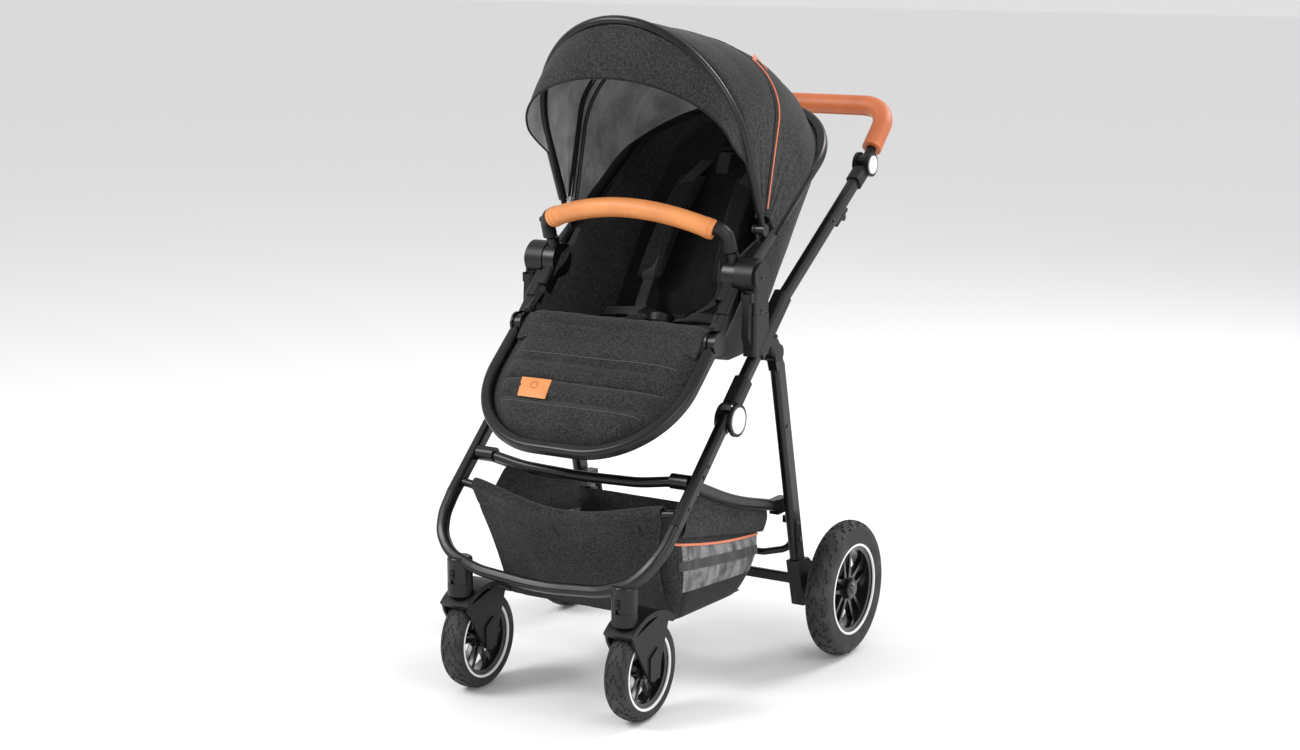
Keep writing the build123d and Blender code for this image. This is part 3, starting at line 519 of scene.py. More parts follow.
def buildTyre(kind):
    size = wheelSizes[kind]
    low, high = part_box(f"left_{kind}_tyre")
    centre = Vector([(a + b) / 2 for a, b in zip(low, high)])
    radius = (high[2] - low[2]) / 2
    half = (high[0] - low[0]) / 2
    tyre = spun(profilePoints(size, radius - 0.0004, half), centre, size["steps"], f"left_{kind}_tyre_tread")
    turn = 2 * math.pi / size["steps"]

    def grooved(place, normal):
        spoke = place - centre
        out = math.hypot(spoke.y, spoke.z)
        if out < radius - 0.011 or abs(spoke.x) > half * 0.93:
            return False
        step = int((math.atan2(spoke.z, spoke.y) + math.pi) / turn)
        lane = int((spoke.x / half + 1) * 6.5)
        lean = lane if lane < 7 else 13 - lane
        return (step + lean) % 4 == 0 or (lane in (3, 10) and step % 2 == 0)
    selectFaces(tyre, grooved)
    bpy.ops.mesh.inset(thickness=0.0006, depth=-size["grooves"])
    bpy.ops.object.mode_set(mode="OBJECT")
    return dress(settle(tyre, 28), rubber), centre, radius, half


def buildRim(kind, centre, radius, half):
    size = wheelSizes[kind]
    rim = size["rim"]
    wide = half * 0.62
    # the barrel: a closed outline with a raised lip at both edges
    barrel = spun([(-wide, rim - 0.0006), (-wide - 0.0022, rim + 0.0030), (-wide - 0.0030, rim + 0.0022),
                   (-wide - 0.0012, rim - 0.0060), (-wide * 0.4, rim - 0.0075), (wide * 0.4, rim - 0.0075),
                   (wide + 0.0012, rim - 0.0060), (wide + 0.0030, rim + 0.0022),
                   (wide + 0.0022, rim + 0.0030), (wide, rim - 0.0006)], centre, 64, "barrel")
    parts = [barrel]
    hubRadius = rim * 0.26
    hub = spun([(-half * 0.8, 0.0064), (-half * 0.8, hubRadius * 0.72), (-half * 0.7, hubRadius * 0.9),
                (-half * 0.35, hubRadius), (half * 0.35, hubRadius), (half * 0.7, hubRadius * 0.9),
                (half * 0.8, hubRadius * 0.72), (half * 0.8, 0.0064)], centre, 40, "hub")
    parts.append(hub)
    # one spoke, thick at the hub and the rim, copied round
    reach = rim - 0.005 - hubRadius * 0.8
    bpy.ops.object.select_all(action="DESELECT")
    bpy.ops.mesh.primitive_cube_add(size=1)
    spoke = bpy.context.object
    bpy.ops.object.mode_set(mode="EDIT")
    bpy.ops.mesh.subdivide(number_cuts=4)
    bpy.ops.object.mode_set(mode="OBJECT")
    for vertex in spoke.data.vertices:
        along = vertex.co.z + 0.5
        waist = 1.0 + 0.75 * (2 * along - 1) ** 2
        vertex.co = (vertex.co.x * half * 0.62 * (1.0 - 0.25 * along),
                     vertex.co.y * rim * 0.085 * waist, hubRadius * 0.8 + along * reach)
    finishWith(spoke, "BEVEL", width=rim * 0.012, segments=2, limit_method="ANGLE")
    for index in range(5):
        for lean in (-1, 1):
            twin = copyOf(spoke, f"spoke{index}{lean}")
            tilt = Matrix.Rotation(-lean * math.radians(7), 4, "X")
            tilt = Matrix.Translation((0, lean * rim * 0.075, 0)) @ tilt
            turned = Matrix.Rotation(index * 2 * math.pi / 5, 4, "X")
            twin.data.transform(Matrix.Translation(centre) @ turned @ tilt)
            parts.append(twin)
    bpy.data.objects.remove(spoke)
    # a small cap over the axle's end
    for side in (-1, 1):
        cap = spun([(side * half * 0.80, 0.0), (side * (half * 0.80 + 0.0032), 0.0),
                    (side * (half * 0.80 + 0.0028), hubRadius * 0.42),
                    (side * half * 0.80, hubRadius * 0.55)], centre, 32, f"cap{side}")
        parts.append(cap)
    return dress(settle(joined(parts, f"left_{kind}_rim_spokes"), 30), glossBlack)


def buildRing(kind, centre, half):
    size = wheelSizes[kind]
    at = half * 0.90
    rings = []
    for side in (-1, 1):
        out = size["ring"]
        rings.append(spun([(side * (at - 0.002), out - 0.0022), (side * (at + 0.0006), out - 0.0019),
                           (side * (at + 0.0012), out), (side * (at + 0.0006), out + 0.0019),
                           (side * (at - 0.002), out + 0.0022)], centre, 72, f"ring{side}"))
    return dress(settle(joined(rings, f"left_{kind}_white_ring"), 30), ringWhite)


for kind, size in wheelSizes.items():
    tyre, centre, radius, half = buildTyre(kind)
    pieces = [(tyre, "_tyre", "tyre"), (buildRim(kind, centre, radius, half), "_rim", "rim"),
              (buildRing(kind, centre, half), "", "white_plastic")]
    for piece, node, slotName in pieces:
        twin = copyOf(piece, piece.name.replace("left", "right"))
        shift = Matrix.Translation((-2 * centre.x, 0, 0))
        twin.data.transform(shift)
        for side, body in ((piece, "left"), (twin, "right")):
            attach(side, body + size["body"])
            if node:
                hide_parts(f"{body}_{kind}{node}")
print("wheels made")


# canopy: one continuous cloth over the bows, a visor hanging from the front bow

canopyPivot = Vector(jointPlace["canopy_fold"])
canopy = {"rearAngle": 35.5, "bowAngle": 113.0, "midAngle": 77.0, "visorAngle": 126.0,
          # angle, half width, end of the straight sides, reach at the middle
          "shape": [(33, 0.1975, 0.160, 0.362), (55, 0.1960, 0.172, 0.328), (77, 0.1955, 0.178, 0.319),
                    (95, 0.1960, 0.172, 0.331), (113, 0.1965, 0.168, 0.369)],
          "visorShape": (0.195, 0.188, 0.312), "footRadius": 0.024, "leg": 0.2}


def archPoint(angle, s, half, spring, reach, foot):
    # s runs from the right foot over the top to the left foot
    leg = canopy["leg"]
    if s < leg:
        x, out = -half, mix(foot, spring, s / leg)
    elif s > 1 - leg:
        x, out = half, mix(foot, spring, (1 - s) / leg)
    else:
        turn = math.pi * (s - leg) / (1 - 2 * leg)
        x, out = -half * math.cos(turn), spring + (reach - spring) * math.sin(turn)
    a = math.radians(angle)
    return canopyPivot + Vector((x, out * math.cos(a), out * math.sin(a)))


def canopyPoint(angle, s, inward=0.0):
    half, spring, reach = between(canopy["shape"], angle)
    return archPoint(angle, s, half - inward, spring, reach - inward, canopy["footRadius"])


def hoodPlace(u, v):
    angle = mix(canopy["rearAngle"], canopy["bowAngle"], v)
    point = canopyPoint(angle, u)
    out = point - canopyPivot - Vector((point.x * 0.2, 0, 0))
    # slack gathers near the pivots and faint ripples between the bows
    low = min(u, 1 - u)
    gather = 0.0007 * math.sin(angle * 0.55) * ease(0.28, 0.02, low)
    ripple = 0.0022 * noise.noise(point * 11)
    # the rear edge is tucked down onto the backrest's loop
    tuck = ease(0.12, 0.0, v) * 0.029
    point = point + Vector((0, math.sin(math.radians(33)), -math.cos(math.radians(33)))) * tuck
    seam = -0.0022 * math.exp(-((angle - canopy["midAngle"]) / 1.5) ** 2)
    return point + out.normalized() * (gather + ripple + seam)


hood = faceAway(clothGrid("canopy_hood", 96, 64, hoodPlace), lambda place: place - canopyPivot)
dress(hood, melange, lining)
finishWith(hood, "SOLIDIFY", thickness=0.0022, offset=-1, material_offset=1, material_offset_rim=0)
settle(hood, 60)


def visorPlace(u, v):
    half, spring, reach = canopy["visorShape"]
    s = mix(0.135, 0.865, u)
    top = archPoint(canopy["bowAngle"] + 1.2, s, 0.1945, 0.166, 0.3675, canopy["footRadius"])
    edge = archPoint(canopy["visorAngle"], s, half, spring, reach, canopy["footRadius"])
    drop = ease(0.0, 0.10, min(u, 1 - u)) ** 0.5
    swell = Vector((0, -0.8, 0.4)) * 0.009 * math.sin(math.pi * v) * math.sin(math.pi * u)
    return top.lerp(edge, v * drop) + swell * drop


visor = faceAway(clothGrid("canopy_visor", 96, 12, visorPlace), lambda place: place - canopyPivot)
dress(visor, melange, lining)
visorEdge = [visorPlace(i / 72, 1.0) for i in range(73)]
finishWith(visor, "SOLIDIFY", thickness=0.0022, offset=-1, material_offset=1, material_offset_rim=0)
settle(visor, 60)
visorBinding = tubeAlong("canopy_visor_binding", visorEdge, 0.0019, seatBlack)

bowRoute = [archPoint(canopy["bowAngle"], 0.02 + 0.96 * i / 96, 0.194, 0.150, 0.373, 0.02) for i in range(97)]
bowSleeve = tubeAlong("canopy_bow_sleeve", bowRoute, 0.0078, tubeBlack, sides=5)


midRoute = [archPoint(canopy["midAngle"], 0.01 + 0.98 * i / 96, 0.1790, 0.150, 0.3125, 0.012)
            for i in range(97)]
midBow = tubeAlong("canopy_middle_bow_tube", midRoute, 0.0034, tubeBlack)
midFeet = []
for side in (-1, 1):
    foot = spun([(side * 0.1764, 0.0034), (side * 0.1764, 0.0086), (side * 0.1772, 0.0092),
                 (side * 0.1820, 0.0092), (side * 0.1828, 0.0086), (side * 0.1828, 0.0034)],
                canopyPivot, 28, f"foot{side}")
    midFeet.append(foot)
midBow = dress(settle(joined([midBow] + midFeet, "canopy_middle_bow_tube"), 40), tubeBlack)
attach(midBow, "canopy_middle")
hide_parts("canopy_mid_bow")


def hoodBand(name, angle, start, to, width, lift, material):  # a strip or cord laid on the cloth
    route, sides = [], []
    for i in range(81):
        s = mix(start, to, i / 80)
        point = canopyPoint(angle, s, -lift)
        ahead = canopyPoint(angle + 0.5, s, -lift)
        route.append(point)
        sides.append(ahead - point)
    if width:
        return strapAlong(name, route, sides, width, 0.0012, material)
    return tubeAlong(name, route, 0.0016, material)


zipStrip = hoodBand("canopy_seam_strip", 78.2, 0.01, 0.99, 0.0085, 0.0006, seatBlack)
frontSeam = hoodBand("canopy_front_seam", 110.2, 0.03, 0.97, 0.012, 0.0005, seatBlack)
rearEdge = [hoodPlace(i / 120, 0.0) for i in range(121)]
rearBinding = tubeAlong("canopy_rear_binding", rearEdge, 0.0036, seatBlack)
innerBand = hoodBand("canopy_inner_band", 77.0, 0.01, 0.99, 0.015, -0.0042, seatBlack)
pipings = [hoodBand(f"canopy_piping_{side}", 75.4, low, high, 0, 0.0008, coral)
           for side, low, high in (("right", 0.015, 0.36), ("left", 0.64, 0.985))]
loops = []
for side in (-1, 1):
    top = canopyPoint(74.4, 0.64 if side > 0 else 0.36, -0.001)
    back = canopyPoint(70.0, 0.625 if side > 0 else 0.375, -0.004)
    low = canopyPoint(71.5, 0.665 if side > 0 else 0.335, -0.002)
    route = flowing([top, back.lerp(top, 0.3) + Vector((0, 0, 0.003)), back, low], 16)
    loops.append(strapAlong(f"canopy_loop_{'left' if side > 0 else 'right'}", route, (0.4 * side, 0.5, -0.6),
                            0.006, 0.0012, coral))
rearEnd = canopyPoint(40, 0.5)
frontEnd = canopyPoint(112, 0.5)
for piece in (hood, frontSeam):
    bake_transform(piece)
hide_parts("canopy_front_panel", "canopy_middle_panel", "canopy_rear_panel")
for piece in (visor, visorBinding, bowSleeve):
    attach(piece, "canopy_front")
for piece in [zipStrip, innerBand, rearBinding] + pipings + loops:
    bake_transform(piece)


# seat liner: a padded hammock hung between the two side tubes

liner = {"thick": 0.009, "cut": 0.70,
         # floor y, z; rim y, z; half width at the rim and at the floor
         "stations": [
             (0.00, -0.160, 0.600, -0.157, 0.604, 0.175, 0.168),
             (0.08, -0.137, 0.580, -0.146, 0.614, 0.174, 0.160),
             (0.17, -0.102, 0.560, -0.124, 0.638, 0.170, 0.152),
             (0.25, -0.060, 0.545, -0.100, 0.664, 0.163, 0.148),
             (0.33, -0.015, 0.536, -0.077, 0.694, 0.159, 0.146),
             (0.41, 0.026, 0.540, -0.040, 0.712, 0.163, 0.146),
             (0.48, 0.056, 0.566, -0.005, 0.734, 0.172, 0.148),
             (0.56, 0.088, 0.610, 0.036, 0.758, 0.177, 0.150),
             (0.66, 0.130, 0.672, 0.085, 0.790, 0.178, 0.150),
             (0.80, 0.187, 0.768, 0.158, 0.836, 0.176, 0.146),
             (0.91, 0.240, 0.850, 0.222, 0.878, 0.163, 0.128),
             (1.00, 0.284, 0.914, 0.286, 0.919, 0.085, 0.060)]}


def linerPlace(u, v):
    fy, fz, ry, rz, rimHalf, floorHalf = between(liner["stations"], v)
    side = 2 * u - 1
    climb = ease(liner["cut"], 1.0, abs(side))
    across = mix(floorHalf * abs(side) / liner["cut"], rimHalf, climb) if abs(side) > liner["cut"] \
        else floorHalf * abs(side) / liner["cut"]
    wall = ease(liner["cut"] - 0.08, 1.0, abs(side)) ** 0.8
    y, z = mix(fy, ry, wall), mix(fz, rz, wall)
    point = Vector((math.copysign(across, side), y, z))
    # sewn vertical channels on the back, soft folds on the sides
    onBack = ease(0.46, 0.56, v) * ease(0.74, 0.62, abs(side))
    channel = 0.0045 * abs(math.sin(math.pi * side * 2.5)) ** 0.6 * onBack
    fold = 0.003 * noise.noise(Vector((side * 3, v * 9, 0.3)))
    inward = Vector((0, -0.62, 0.78)) if v > 0.45 else Vector((0, -0.1, 1))
    return point + inward * (channel + fold)


seatHeart = Vector((0, -0.02, 0.78))
seatLiner = faceAway(clothGrid("seat_liner", 72, 96, linerPlace), lambda place: seatHeart - place)
dress(seatLiner, melange, seatBlack)
paintFaces(seatLiner, lambda u, v: 1 if v > 0.47 and (abs(2 * u - 1) < 0.66 or abs(2 * u - 1) > 0.93) else 0)
finishWith(seatLiner, "SOLIDIFY", thickness=liner["thick"], offset=-1)
for face in seatLiner.data.polygons:  # the outside of the shell is all of the woven cloth
    if face.normal.dot(seatHeart - face.center) < 0:
        face.material_index = 0
settle(seatLiner, 60)
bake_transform(seatLiner)
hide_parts("seat_cushion", "backrest_cushion")


def cushionForm(name, across, along, place, thick, material):
    # a closed crowned pad: an upper and a lower skin that meet in a rounded edge
    def skin(side):
        def both(u, v):
            edge = min(u, 1 - u, 1.0) * min(v, 1 - v, 1.0)
            crown = (min(1.0, 4 * u * (1 - u) * 1.6) * min(1.0, 4 * v * (1 - v) * 1.6)) ** 0.5
            base, up = place(u, v)
            return base + up * thick * 0.5 * crown * side
        return both
    top = clothGrid(name, across, along, skin(1))
    under = clothGrid(name + "_under", across, along, skin(-1))
    piece = joined([top, under], name)
    cleaned(piece, 0.0002)
    return dress(piece, material)


def puffed(piece, cap, pressure=4.0, frames=20, voxel=0.005):
    # blows the pad up with cloth, and holds every point near where it was sewn
    only(piece)
    bpy.ops.object.transform_apply(location=True, rotation=True, scale=True)
    finishWith(piece, "REMESH", mode="VOXEL", voxel_size=voxel)
    before = [vertex.co.copy() for vertex in piece.data.vertices]
    only(piece)
    cloth = piece.modifiers.new("Cloth", "CLOTH")
    cloth.settings.use_pressure = True
    cloth.settings.uniform_pressure_force = pressure
    cloth.settings.effector_weights.gravity = 0
    cloth.point_cache.frame_start = 1
    cloth.point_cache.frame_end = frames
    for step in range(1, frames + 1):
        bpy.context.scene.frame_set(step)
    bpy.ops.object.modifier_apply(modifier=cloth.name)
    bpy.context.scene.frame_set(1)
    for vertex, start in zip(piece.data.vertices, before):
        move = vertex.co - start
        if move.length > cap:
            vertex.co = start + move * (cap / move.length)
    return finishWith(piece, "SUBSURF", levels=1, render_levels=1)


seatPad = {"front": (-0.152, 0.600), "back": (0.036, 0.572), "half": 0.140, "thick": 0.026}


def seatPadPlace(u, v):
    y = mix(seatPad["front"][0], seatPad["back"][0], v)
    z = mix(seatPad["front"][1], seatPad["back"][1], v) - 0.020 * math.sin(math.pi * v)
    half = seatPad["half"] * (1.06 - 0.12 * v)
    return Vector(((2 * u - 1) * half, y, z - 0.004)), Vector((0, 0, 1))


seatCushion = cushionForm("seat_pad", 44, 30, seatPadPlace, seatPad["thick"], melange)
puffed(seatCushion, 0.006)
settle(seatCushion, 70)
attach(seatCushion, "seat")
print("seat made")


# leg cover: quilted cloth inside the lower loop

kneePlace = Vector(jointPlace["calf_rest_tilt"])
calfWay = Vector((0, math.cos(math.radians(221)), math.sin(math.radians(221))))
calfUp = Vector((0, math.sin(math.radians(41)) * -1, math.cos(math.radians(41))))
legCover = {"half": 0.180, "straight": 0.094, "corner": 0.141, "tip": 0.234,
            "top": 0.010, "channels": 4, "lift": 0.012}


def coverHalf(out):
    straight, tip = legCover["straight"], legCover["tip"]
    if out < straight:
        return legCover["half"]
    corner = legCover["corner"]
    rest = max(corner ** 2 - min(out - straight, tip - straight) ** 2, 0.0)
    return legCover["half"] - corner + math.sqrt(rest)


def coverPlace(u, v):
    out = mix(legCover["top"], legCover["tip"], v)
    side = 2 * u - 1
    half = coverHalf(out)
    seamAt = abs(math.sin(math.pi * ease(0, 1, v) * legCover["channels"])) ** 0.5
    inside = max(1 - abs(side) ** 6, 0) * ease(1.0, 0.86, v)
    quilt = 0.0090 * seamAt * (1 - ease(0.80, 0.92, abs(side)))
    lift = mix(-0.004, legCover["lift"], inside) + quilt
    slack = 0.002 * noise.noise(Vector((side * 2.2, v * 3, 1.7)))
    rise = 0.012 * ease(0.14, 0.0, v)
    return kneePlace + calfWay * out + calfUp * (lift + slack + rise) + Vector((side * half, 0, 0))


cover = faceAway(clothGrid("leg_cover_quilt", 64, 72, coverPlace), lambda place: calfUp)
finishWith(cover, "SOLIDIFY", thickness=0.010, offset=-1)
dress(settle(cover, 60), melange)
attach(cover, "calf_rest")
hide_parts("leg_cover")


# a soft roll of cloth joins the seat's front edge to the leg cover over the knee joint
rollLine = flowing([(0, -0.136, 0.590), (0, -0.152, 0.608), (0, -0.170, 0.606), (0, -0.188, 0.590),
                    (0, -0.203, 0.5725)], 25)


def rollPlace(u, v):
    point = rollLine[min(round(v * 24), 24)]
    side = 2 * u - 1
    pucker = 0.0022 * noise.noise(Vector((side * 6, v * 2, 5.0))) - 0.006 * ease(0.86, 1.0, abs(side))
    return point + Vector((side * 0.174, 0, pucker))


kneeRoll = faceAway(clothGrid("seat_knee_roll", 60, 24, rollPlace), lambda place: Vector((0, -0.4, 1)))
dress(kneeRoll, melange)
finishWith(kneeRoll, "SOLIDIFY", thickness=0.007, offset=-1)
settle(kneeRoll, 60)
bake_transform(kneeRoll)


def onCover(u, v, lift=0.0):
    return coverPlace(u, v) + calfUp * lift


stitches = []
for line in range(1, legCover["channels"]):
    v = line / legCover["channels"]
    v = 0.5 + (v - 0.5) * 0.92
    route = [onCover(0.07 + 0.86 * i / 60, v, 0.0006) for i in range(61)]
    stitches.append(tubeAlong(f"stitch{line}", route, 0.0007, threadDark, sides=1))
coverSeams = joined(stitches, "leg_cover_seams")
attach(coverSeams, "calf_rest")

patch = {"at": (0.265, 0.60), "size": (0.060, 0.038)}


def patchPlace(u, v):
    wide, deep = patch["size"][0] / 0.360, patch["size"][1] / 0.224
    corners = [onCover(patch["at"][0] + a * wide / 2, patch["at"][1] + b * deep / 2, 0.0030)
               for a, b in ((-1, -1), (1, -1), (-1, 1), (1, 1))]
    crown = calfUp * 0.0022 * math.sin(math.pi * u) * math.sin(math.pi * v)
    return corners[0].lerp(corners[1], u).lerp(corners[2].lerp(corners[3], u), v) + crown


label = faceAway(clothGrid("leg_cover_patch", 12, 10, patchPlace), lambda place: calfUp)
finishWith(label, "SOLIDIFY", thickness=0.0016, offset=1)
finishWith(label, "BEVEL", width=0.0004, segments=2, limit_method="ANGLE")
dress(settle(label, 40), tanLeather)
centre = patchPlace(0.5, 0.40) + calfUp * 0.0018
ringRoute = [centre + Vector((1, 0, 0)) * 0.0065 * math.cos(a) - calfWay * 0.0065 * math.sin(a)
             for a in [i * math.pi / 12 for i in range(24)]]
labelRing = tubeAlong("leg_cover_patch_ring", ringRoute, 0.0005, gripLeather, sides=2, closed=True)
for piece in (label, labelRing):
    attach(piece, "calf_rest")
print("leg cover made")


# harness

backWay = Vector((0, math.cos(math.radians(54)), math.sin(math.radians(54))))
backUp = Vector((0, -math.sin(math.radians(54)), math.cos(math.radians(54))))
harness = {"x": 0.056, "padWide": 0.054, "padLong": 0.215, "padThick": 0.020, "strapWide": 0.025}
padFoot = Vector((0, 0.075, 0.628)) + backUp * 0.018
for side in (-1, 1):
    def padPlace(u, v, side=side):
        along = harness["padLong"] * v
        way = backWay * along + backUp * (0.010 * math.sin(math.pi * v))
        lean = Vector((side * 0.02 * (1 - v), 0, 0))
        at = Vector((side * harness["x"] + (u - 0.5) * harness["padWide"], 0, 0))
        return padFoot + at + way + lean, backUp
    pad = cushionForm(f"harness_pad_{'left' if side > 0 else 'right'}", 14, 40, padPlace,
                      harness["padThick"], melangeDark)
    puffed(pad, 0.004, voxel=0.004)
    settle(pad, 70)
    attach(pad, "backrest")
    ribbonRoute = []
    for i in range(33):
        v = 1.18 * i / 32
        base, up = padPlace(0.5, v)
        crown = harness["padThick"] * 0.5 * max(min(4 * v * (1 - v) * 1.6, 1.0), 0.0) ** 0.5
        ribbonRoute.append(base + up * (crown + 0.0012 - 0.012 * ease(1.0, 1.18, v)))
    ribbon = strapAlong(f"harness_ribbon_{'left' if side > 0 else 'right'}", ribbonRoute, (1, 0, 0),
                        harness["strapWide"], 0.0018, webbing)
    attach(ribbon, "backrest")
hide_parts("harness_straps")

buckleLow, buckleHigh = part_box("harness_buckle")
bucklePlace = Vector([(a + b) / 2 for a, b in zip(buckleLow, buckleHigh)])
for side in (-1, 1):
    name = "left" if side > 0 else "right"
    top = padFoot + Vector((side * (harness["x"] + 0.018), 0, 0)) + backWay * 0.004
    shoulder = flowing([top + backWay * 0.02, top - backWay * 0.03 + backUp * 0.002,
                        bucklePlace + Vector((side * 0.055, 0.022, 0.010)),
                        bucklePlace + Vector((side * 0.020, 0.006, 0.004))], 24)
    waist = flowing([Vector((side * 0.138, 0.016, 0.585)), Vector((side * 0.100, 0.006, 0.590)),
                     Vector((side * 0.062, -0.006, 0.594)),
                     bucklePlace + Vector((side * 0.020, 0.0, 0.002))], 24)
    for strapKind, route, across in (("shoulder", shoulder, (0.8, 0.35, 0.2)),
                                     ("waist", waist, (0, 0.8, 0.5))):
        strap = strapAlong(f"harness_{strapKind}_{name}", route, across, harness["strapWide"] * 0.8, 0.0022,
                           webbing)
        if strapKind == "shoulder":
            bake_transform(strap)
        else:
            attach(strap, "seat")
    tongue = strapAlong(f"harness_tongue_{name}", flowing([bucklePlace + Vector((side * 0.048, 0.016, 0.010)),
                        bucklePlace + Vector((side * 0.022, 0.006, 0.005))], 6),
                        (0.3, 0.8, 0.3), 0.024, 0.005,
                        mouldBlack, 0.0015)
    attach(tongue, "seat")
crotch = flowing([bucklePlace + Vector((0, -0.012, 0.000)), bucklePlace + Vector((0, -0.045, -0.004)),
                  Vector((0, bucklePlace.y - 0.075, 0.604)), Vector((0, bucklePlace.y - 0.085, 0.594))], 20)
crotchStrap = strapAlong("harness_crotch", crotch, (1, 0, 0), 0.036, 0.006, melangeDark, 0.002)
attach(crotchStrap, "seat")
# the strap slot above the pads, with a tab of webbing in it
slotPlace = padFoot + backWay * 0.262 + backUp * 0.002
slotRim = []
for k in range(32):
    a = k * 2 * math.pi / 32
    wide = math.copysign(abs(math.cos(a)) ** 0.5, math.cos(a)) * 0.021
    tall = math.copysign(abs(math.sin(a)) ** 0.5, math.sin(a)) * 0.008
    slotRim.append(slotPlace + Vector((wide, 0, 0)) + backWay * tall)
slotFrame = tubeAlong("backrest_slot", slotRim, 0.0022, mouldBlack, sides=3, closed=True)
tabRoute = flowing([slotPlace + backUp * -0.002, slotPlace + backUp * 0.008 - backWay * 0.008,
                    slotPlace + backUp * 0.009 - backWay * 0.028,
                    slotPlace + backUp * 0.003 - backWay * 0.044], 20)
slotTab = strapAlong("backrest_slot_tab", tabRoute, (1, 0, 0), 0.024, 0.0022, webbing)
for piece, slotName in ((slotFrame, "black_plastic"), (slotTab, "webbing")):
    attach(piece, "backrest")
print("harness made")


# screws

screwOutline = [(0.0, 0.0040), (0.0012, 0.0040), (0.0019, 0.0031), (0.0021, 0.0018),
                (0.0011, 0.0016), (0.0010, 0.0)]


def onSide(node, y, z, side):  # where a line across the object first meets this piece
    hit, place, _, _ = frame["nodes"][node].ray_cast(Vector((side * 0.45, y, z)), Vector((-side, 0, 0)))
    return place if hit else None


screws = {"rear_frame": [("rear_leg", 0.020, 0.418), ("rear_leg", 0.060, 0.240), ("rear_leg", 0.070, 0.210)],
          "front_frame": [("front_leg", -0.245, 0.402), ("front_leg", -0.330, 0.300)],
          "upper_frame": [("sleeve", -0.030, 0.580), ("upper_tube", 0.180, 0.748)],
          "seat_adapters": [("seat_adapter", -0.077, 0.684), ("seat_adapter", -0.077, 0.630)]}
for body, places in screws.items():
    heads = []
    for kind, y, z in places:
        for side, name in ((1, "left"), (-1, "right")):
            spot = onSide(f"{name}_{kind}", y, z, side)
            if spot is None:
                continue
            outline = [(side * (across - 0.0004), out) for across, out in screwOutline]
            heads.append(spun(outline, spot, 20, "screw"))
    if heads:
        caps = dress(settle(joined(heads, f"{body}_screws"), 35), glossBlack)
        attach(caps, body)
        print("screws on", body, len(heads))


# leather covers

bumper = {"half": 0.158, "rise": 0.033, "radius": 0.0165}
bumperRoute = []
for i in range(61):
    t = (i / 60 * 2 - 1) * bumper["half"] / 0.169
    bumperRoute.append(Vector((t * 0.169, -0.114 - 0.020 * (1 - t * t), 0.757 + 0.033 * (1 - t * t))))
bumperSleeve = tubeAlong("bumper_sleeve", bumperRoute, bumper["radius"], tanLeather, sides=6)
hems = []
for end, inner in ((0, 3), (60, 57)):
    hems.append(tubeAlong(f"hem{end}", [bumperRoute[end].lerp(bumperRoute[inner], 0.2),
                                        bumperRoute[inner]], bumper["radius"] + 0.0007, tanLeather, sides=6))
    ring = []
    way = (bumperRoute[inner] - bumperRoute[end]).normalized()
    first = way.cross(Vector((0, 0, 1))).normalized()
    second = way.cross(first)
    at = bumperRoute[end] + way * 0.0075
    for k in range(36):
        a = k * 2 * math.pi / 36
        out = bumper["radius"] + 0.0008 + (0.0003 if k % 2 else -0.0003)
        ring.append(at + first * out * math.cos(a) + second * out * math.sin(a))
    hems.append(tubeAlong(f"thread{end}", ring, 0.00045, threadTan, sides=1, closed=True))
bumperHems = joined(hems, "bumper_sleeve_hems")
for piece in (bumperSleeve, bumperHems):
    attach(piece, "bumper")
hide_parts("bumper_cover")
elbows = []
for side in (-1, 1):
    route = flowing([(side * 0.152, -0.1172, 0.7655), (side * 0.165, -0.1135, 0.7635),
                     (side * 0.1745, -0.1060, 0.7520),
                     (side * 0.1762, -0.1000, 0.7380), (side * 0.1762, -0.0965, 0.7270)], 30)
    elbows.append(tubeAlong(f"elbow{side}", route, 0.0122, mouldBlack, sides=5))
    knob = route[14] + Vector((side * 0.0118, -0.002, 0.003))
    elbows.append(spun([(side * -0.002, 0.0), (side * -0.002, 0.0050), (side * 0.0012, 0.0048),
                        (side * 0.0020, 0.0036),
                        (side * 0.0022, 0.0)], knob, 24, f"knob{side}"))
bumperElbows = dress(settle(joined(elbows, "bumper_elbows"), 40), mouldBlack)
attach(bumperElbows, "bumper")

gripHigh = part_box("handle_grip")[1]
grip = {"radius": 0.0176, "corner": 0.050}
gripX, gripY, gripZ = gripHigh[0] - 0.018, gripHigh[1] - 0.018, gripHigh[2] - 0.018
handlePlace = Vector(jointPlace["handle_tilt"])
armWay = (Vector((0, gripY, gripZ)) - Vector((0, handlePlace.y, handlePlace.z))).normalized()


def gripLine():
    start = Vector((gripX, handlePlace.y, handlePlace.z)) + armWay * 0.037
    corner = Vector((gripX, gripY, gripZ))
    points = [start.lerp(corner - armWay * grip["corner"], i / 14) for i in range(15)]
    middle = corner - armWay * grip["corner"] - Vector((grip["corner"], 0, 0))
    for i in range(1, 16):
        a = i / 16 * math.pi / 2
        bend = Vector((math.cos(a), 0, 0)) * grip["corner"] + armWay * grip["corner"] * math.sin(a)
        points.append(middle + bend)
    half = points + [Vector((gripX - grip["corner"] - 0.02 * i, gripY, gripZ)) for i in range(0, 9)]
    return half + [Vector((-p.x, p.y, p.z)) for p in reversed(half)]


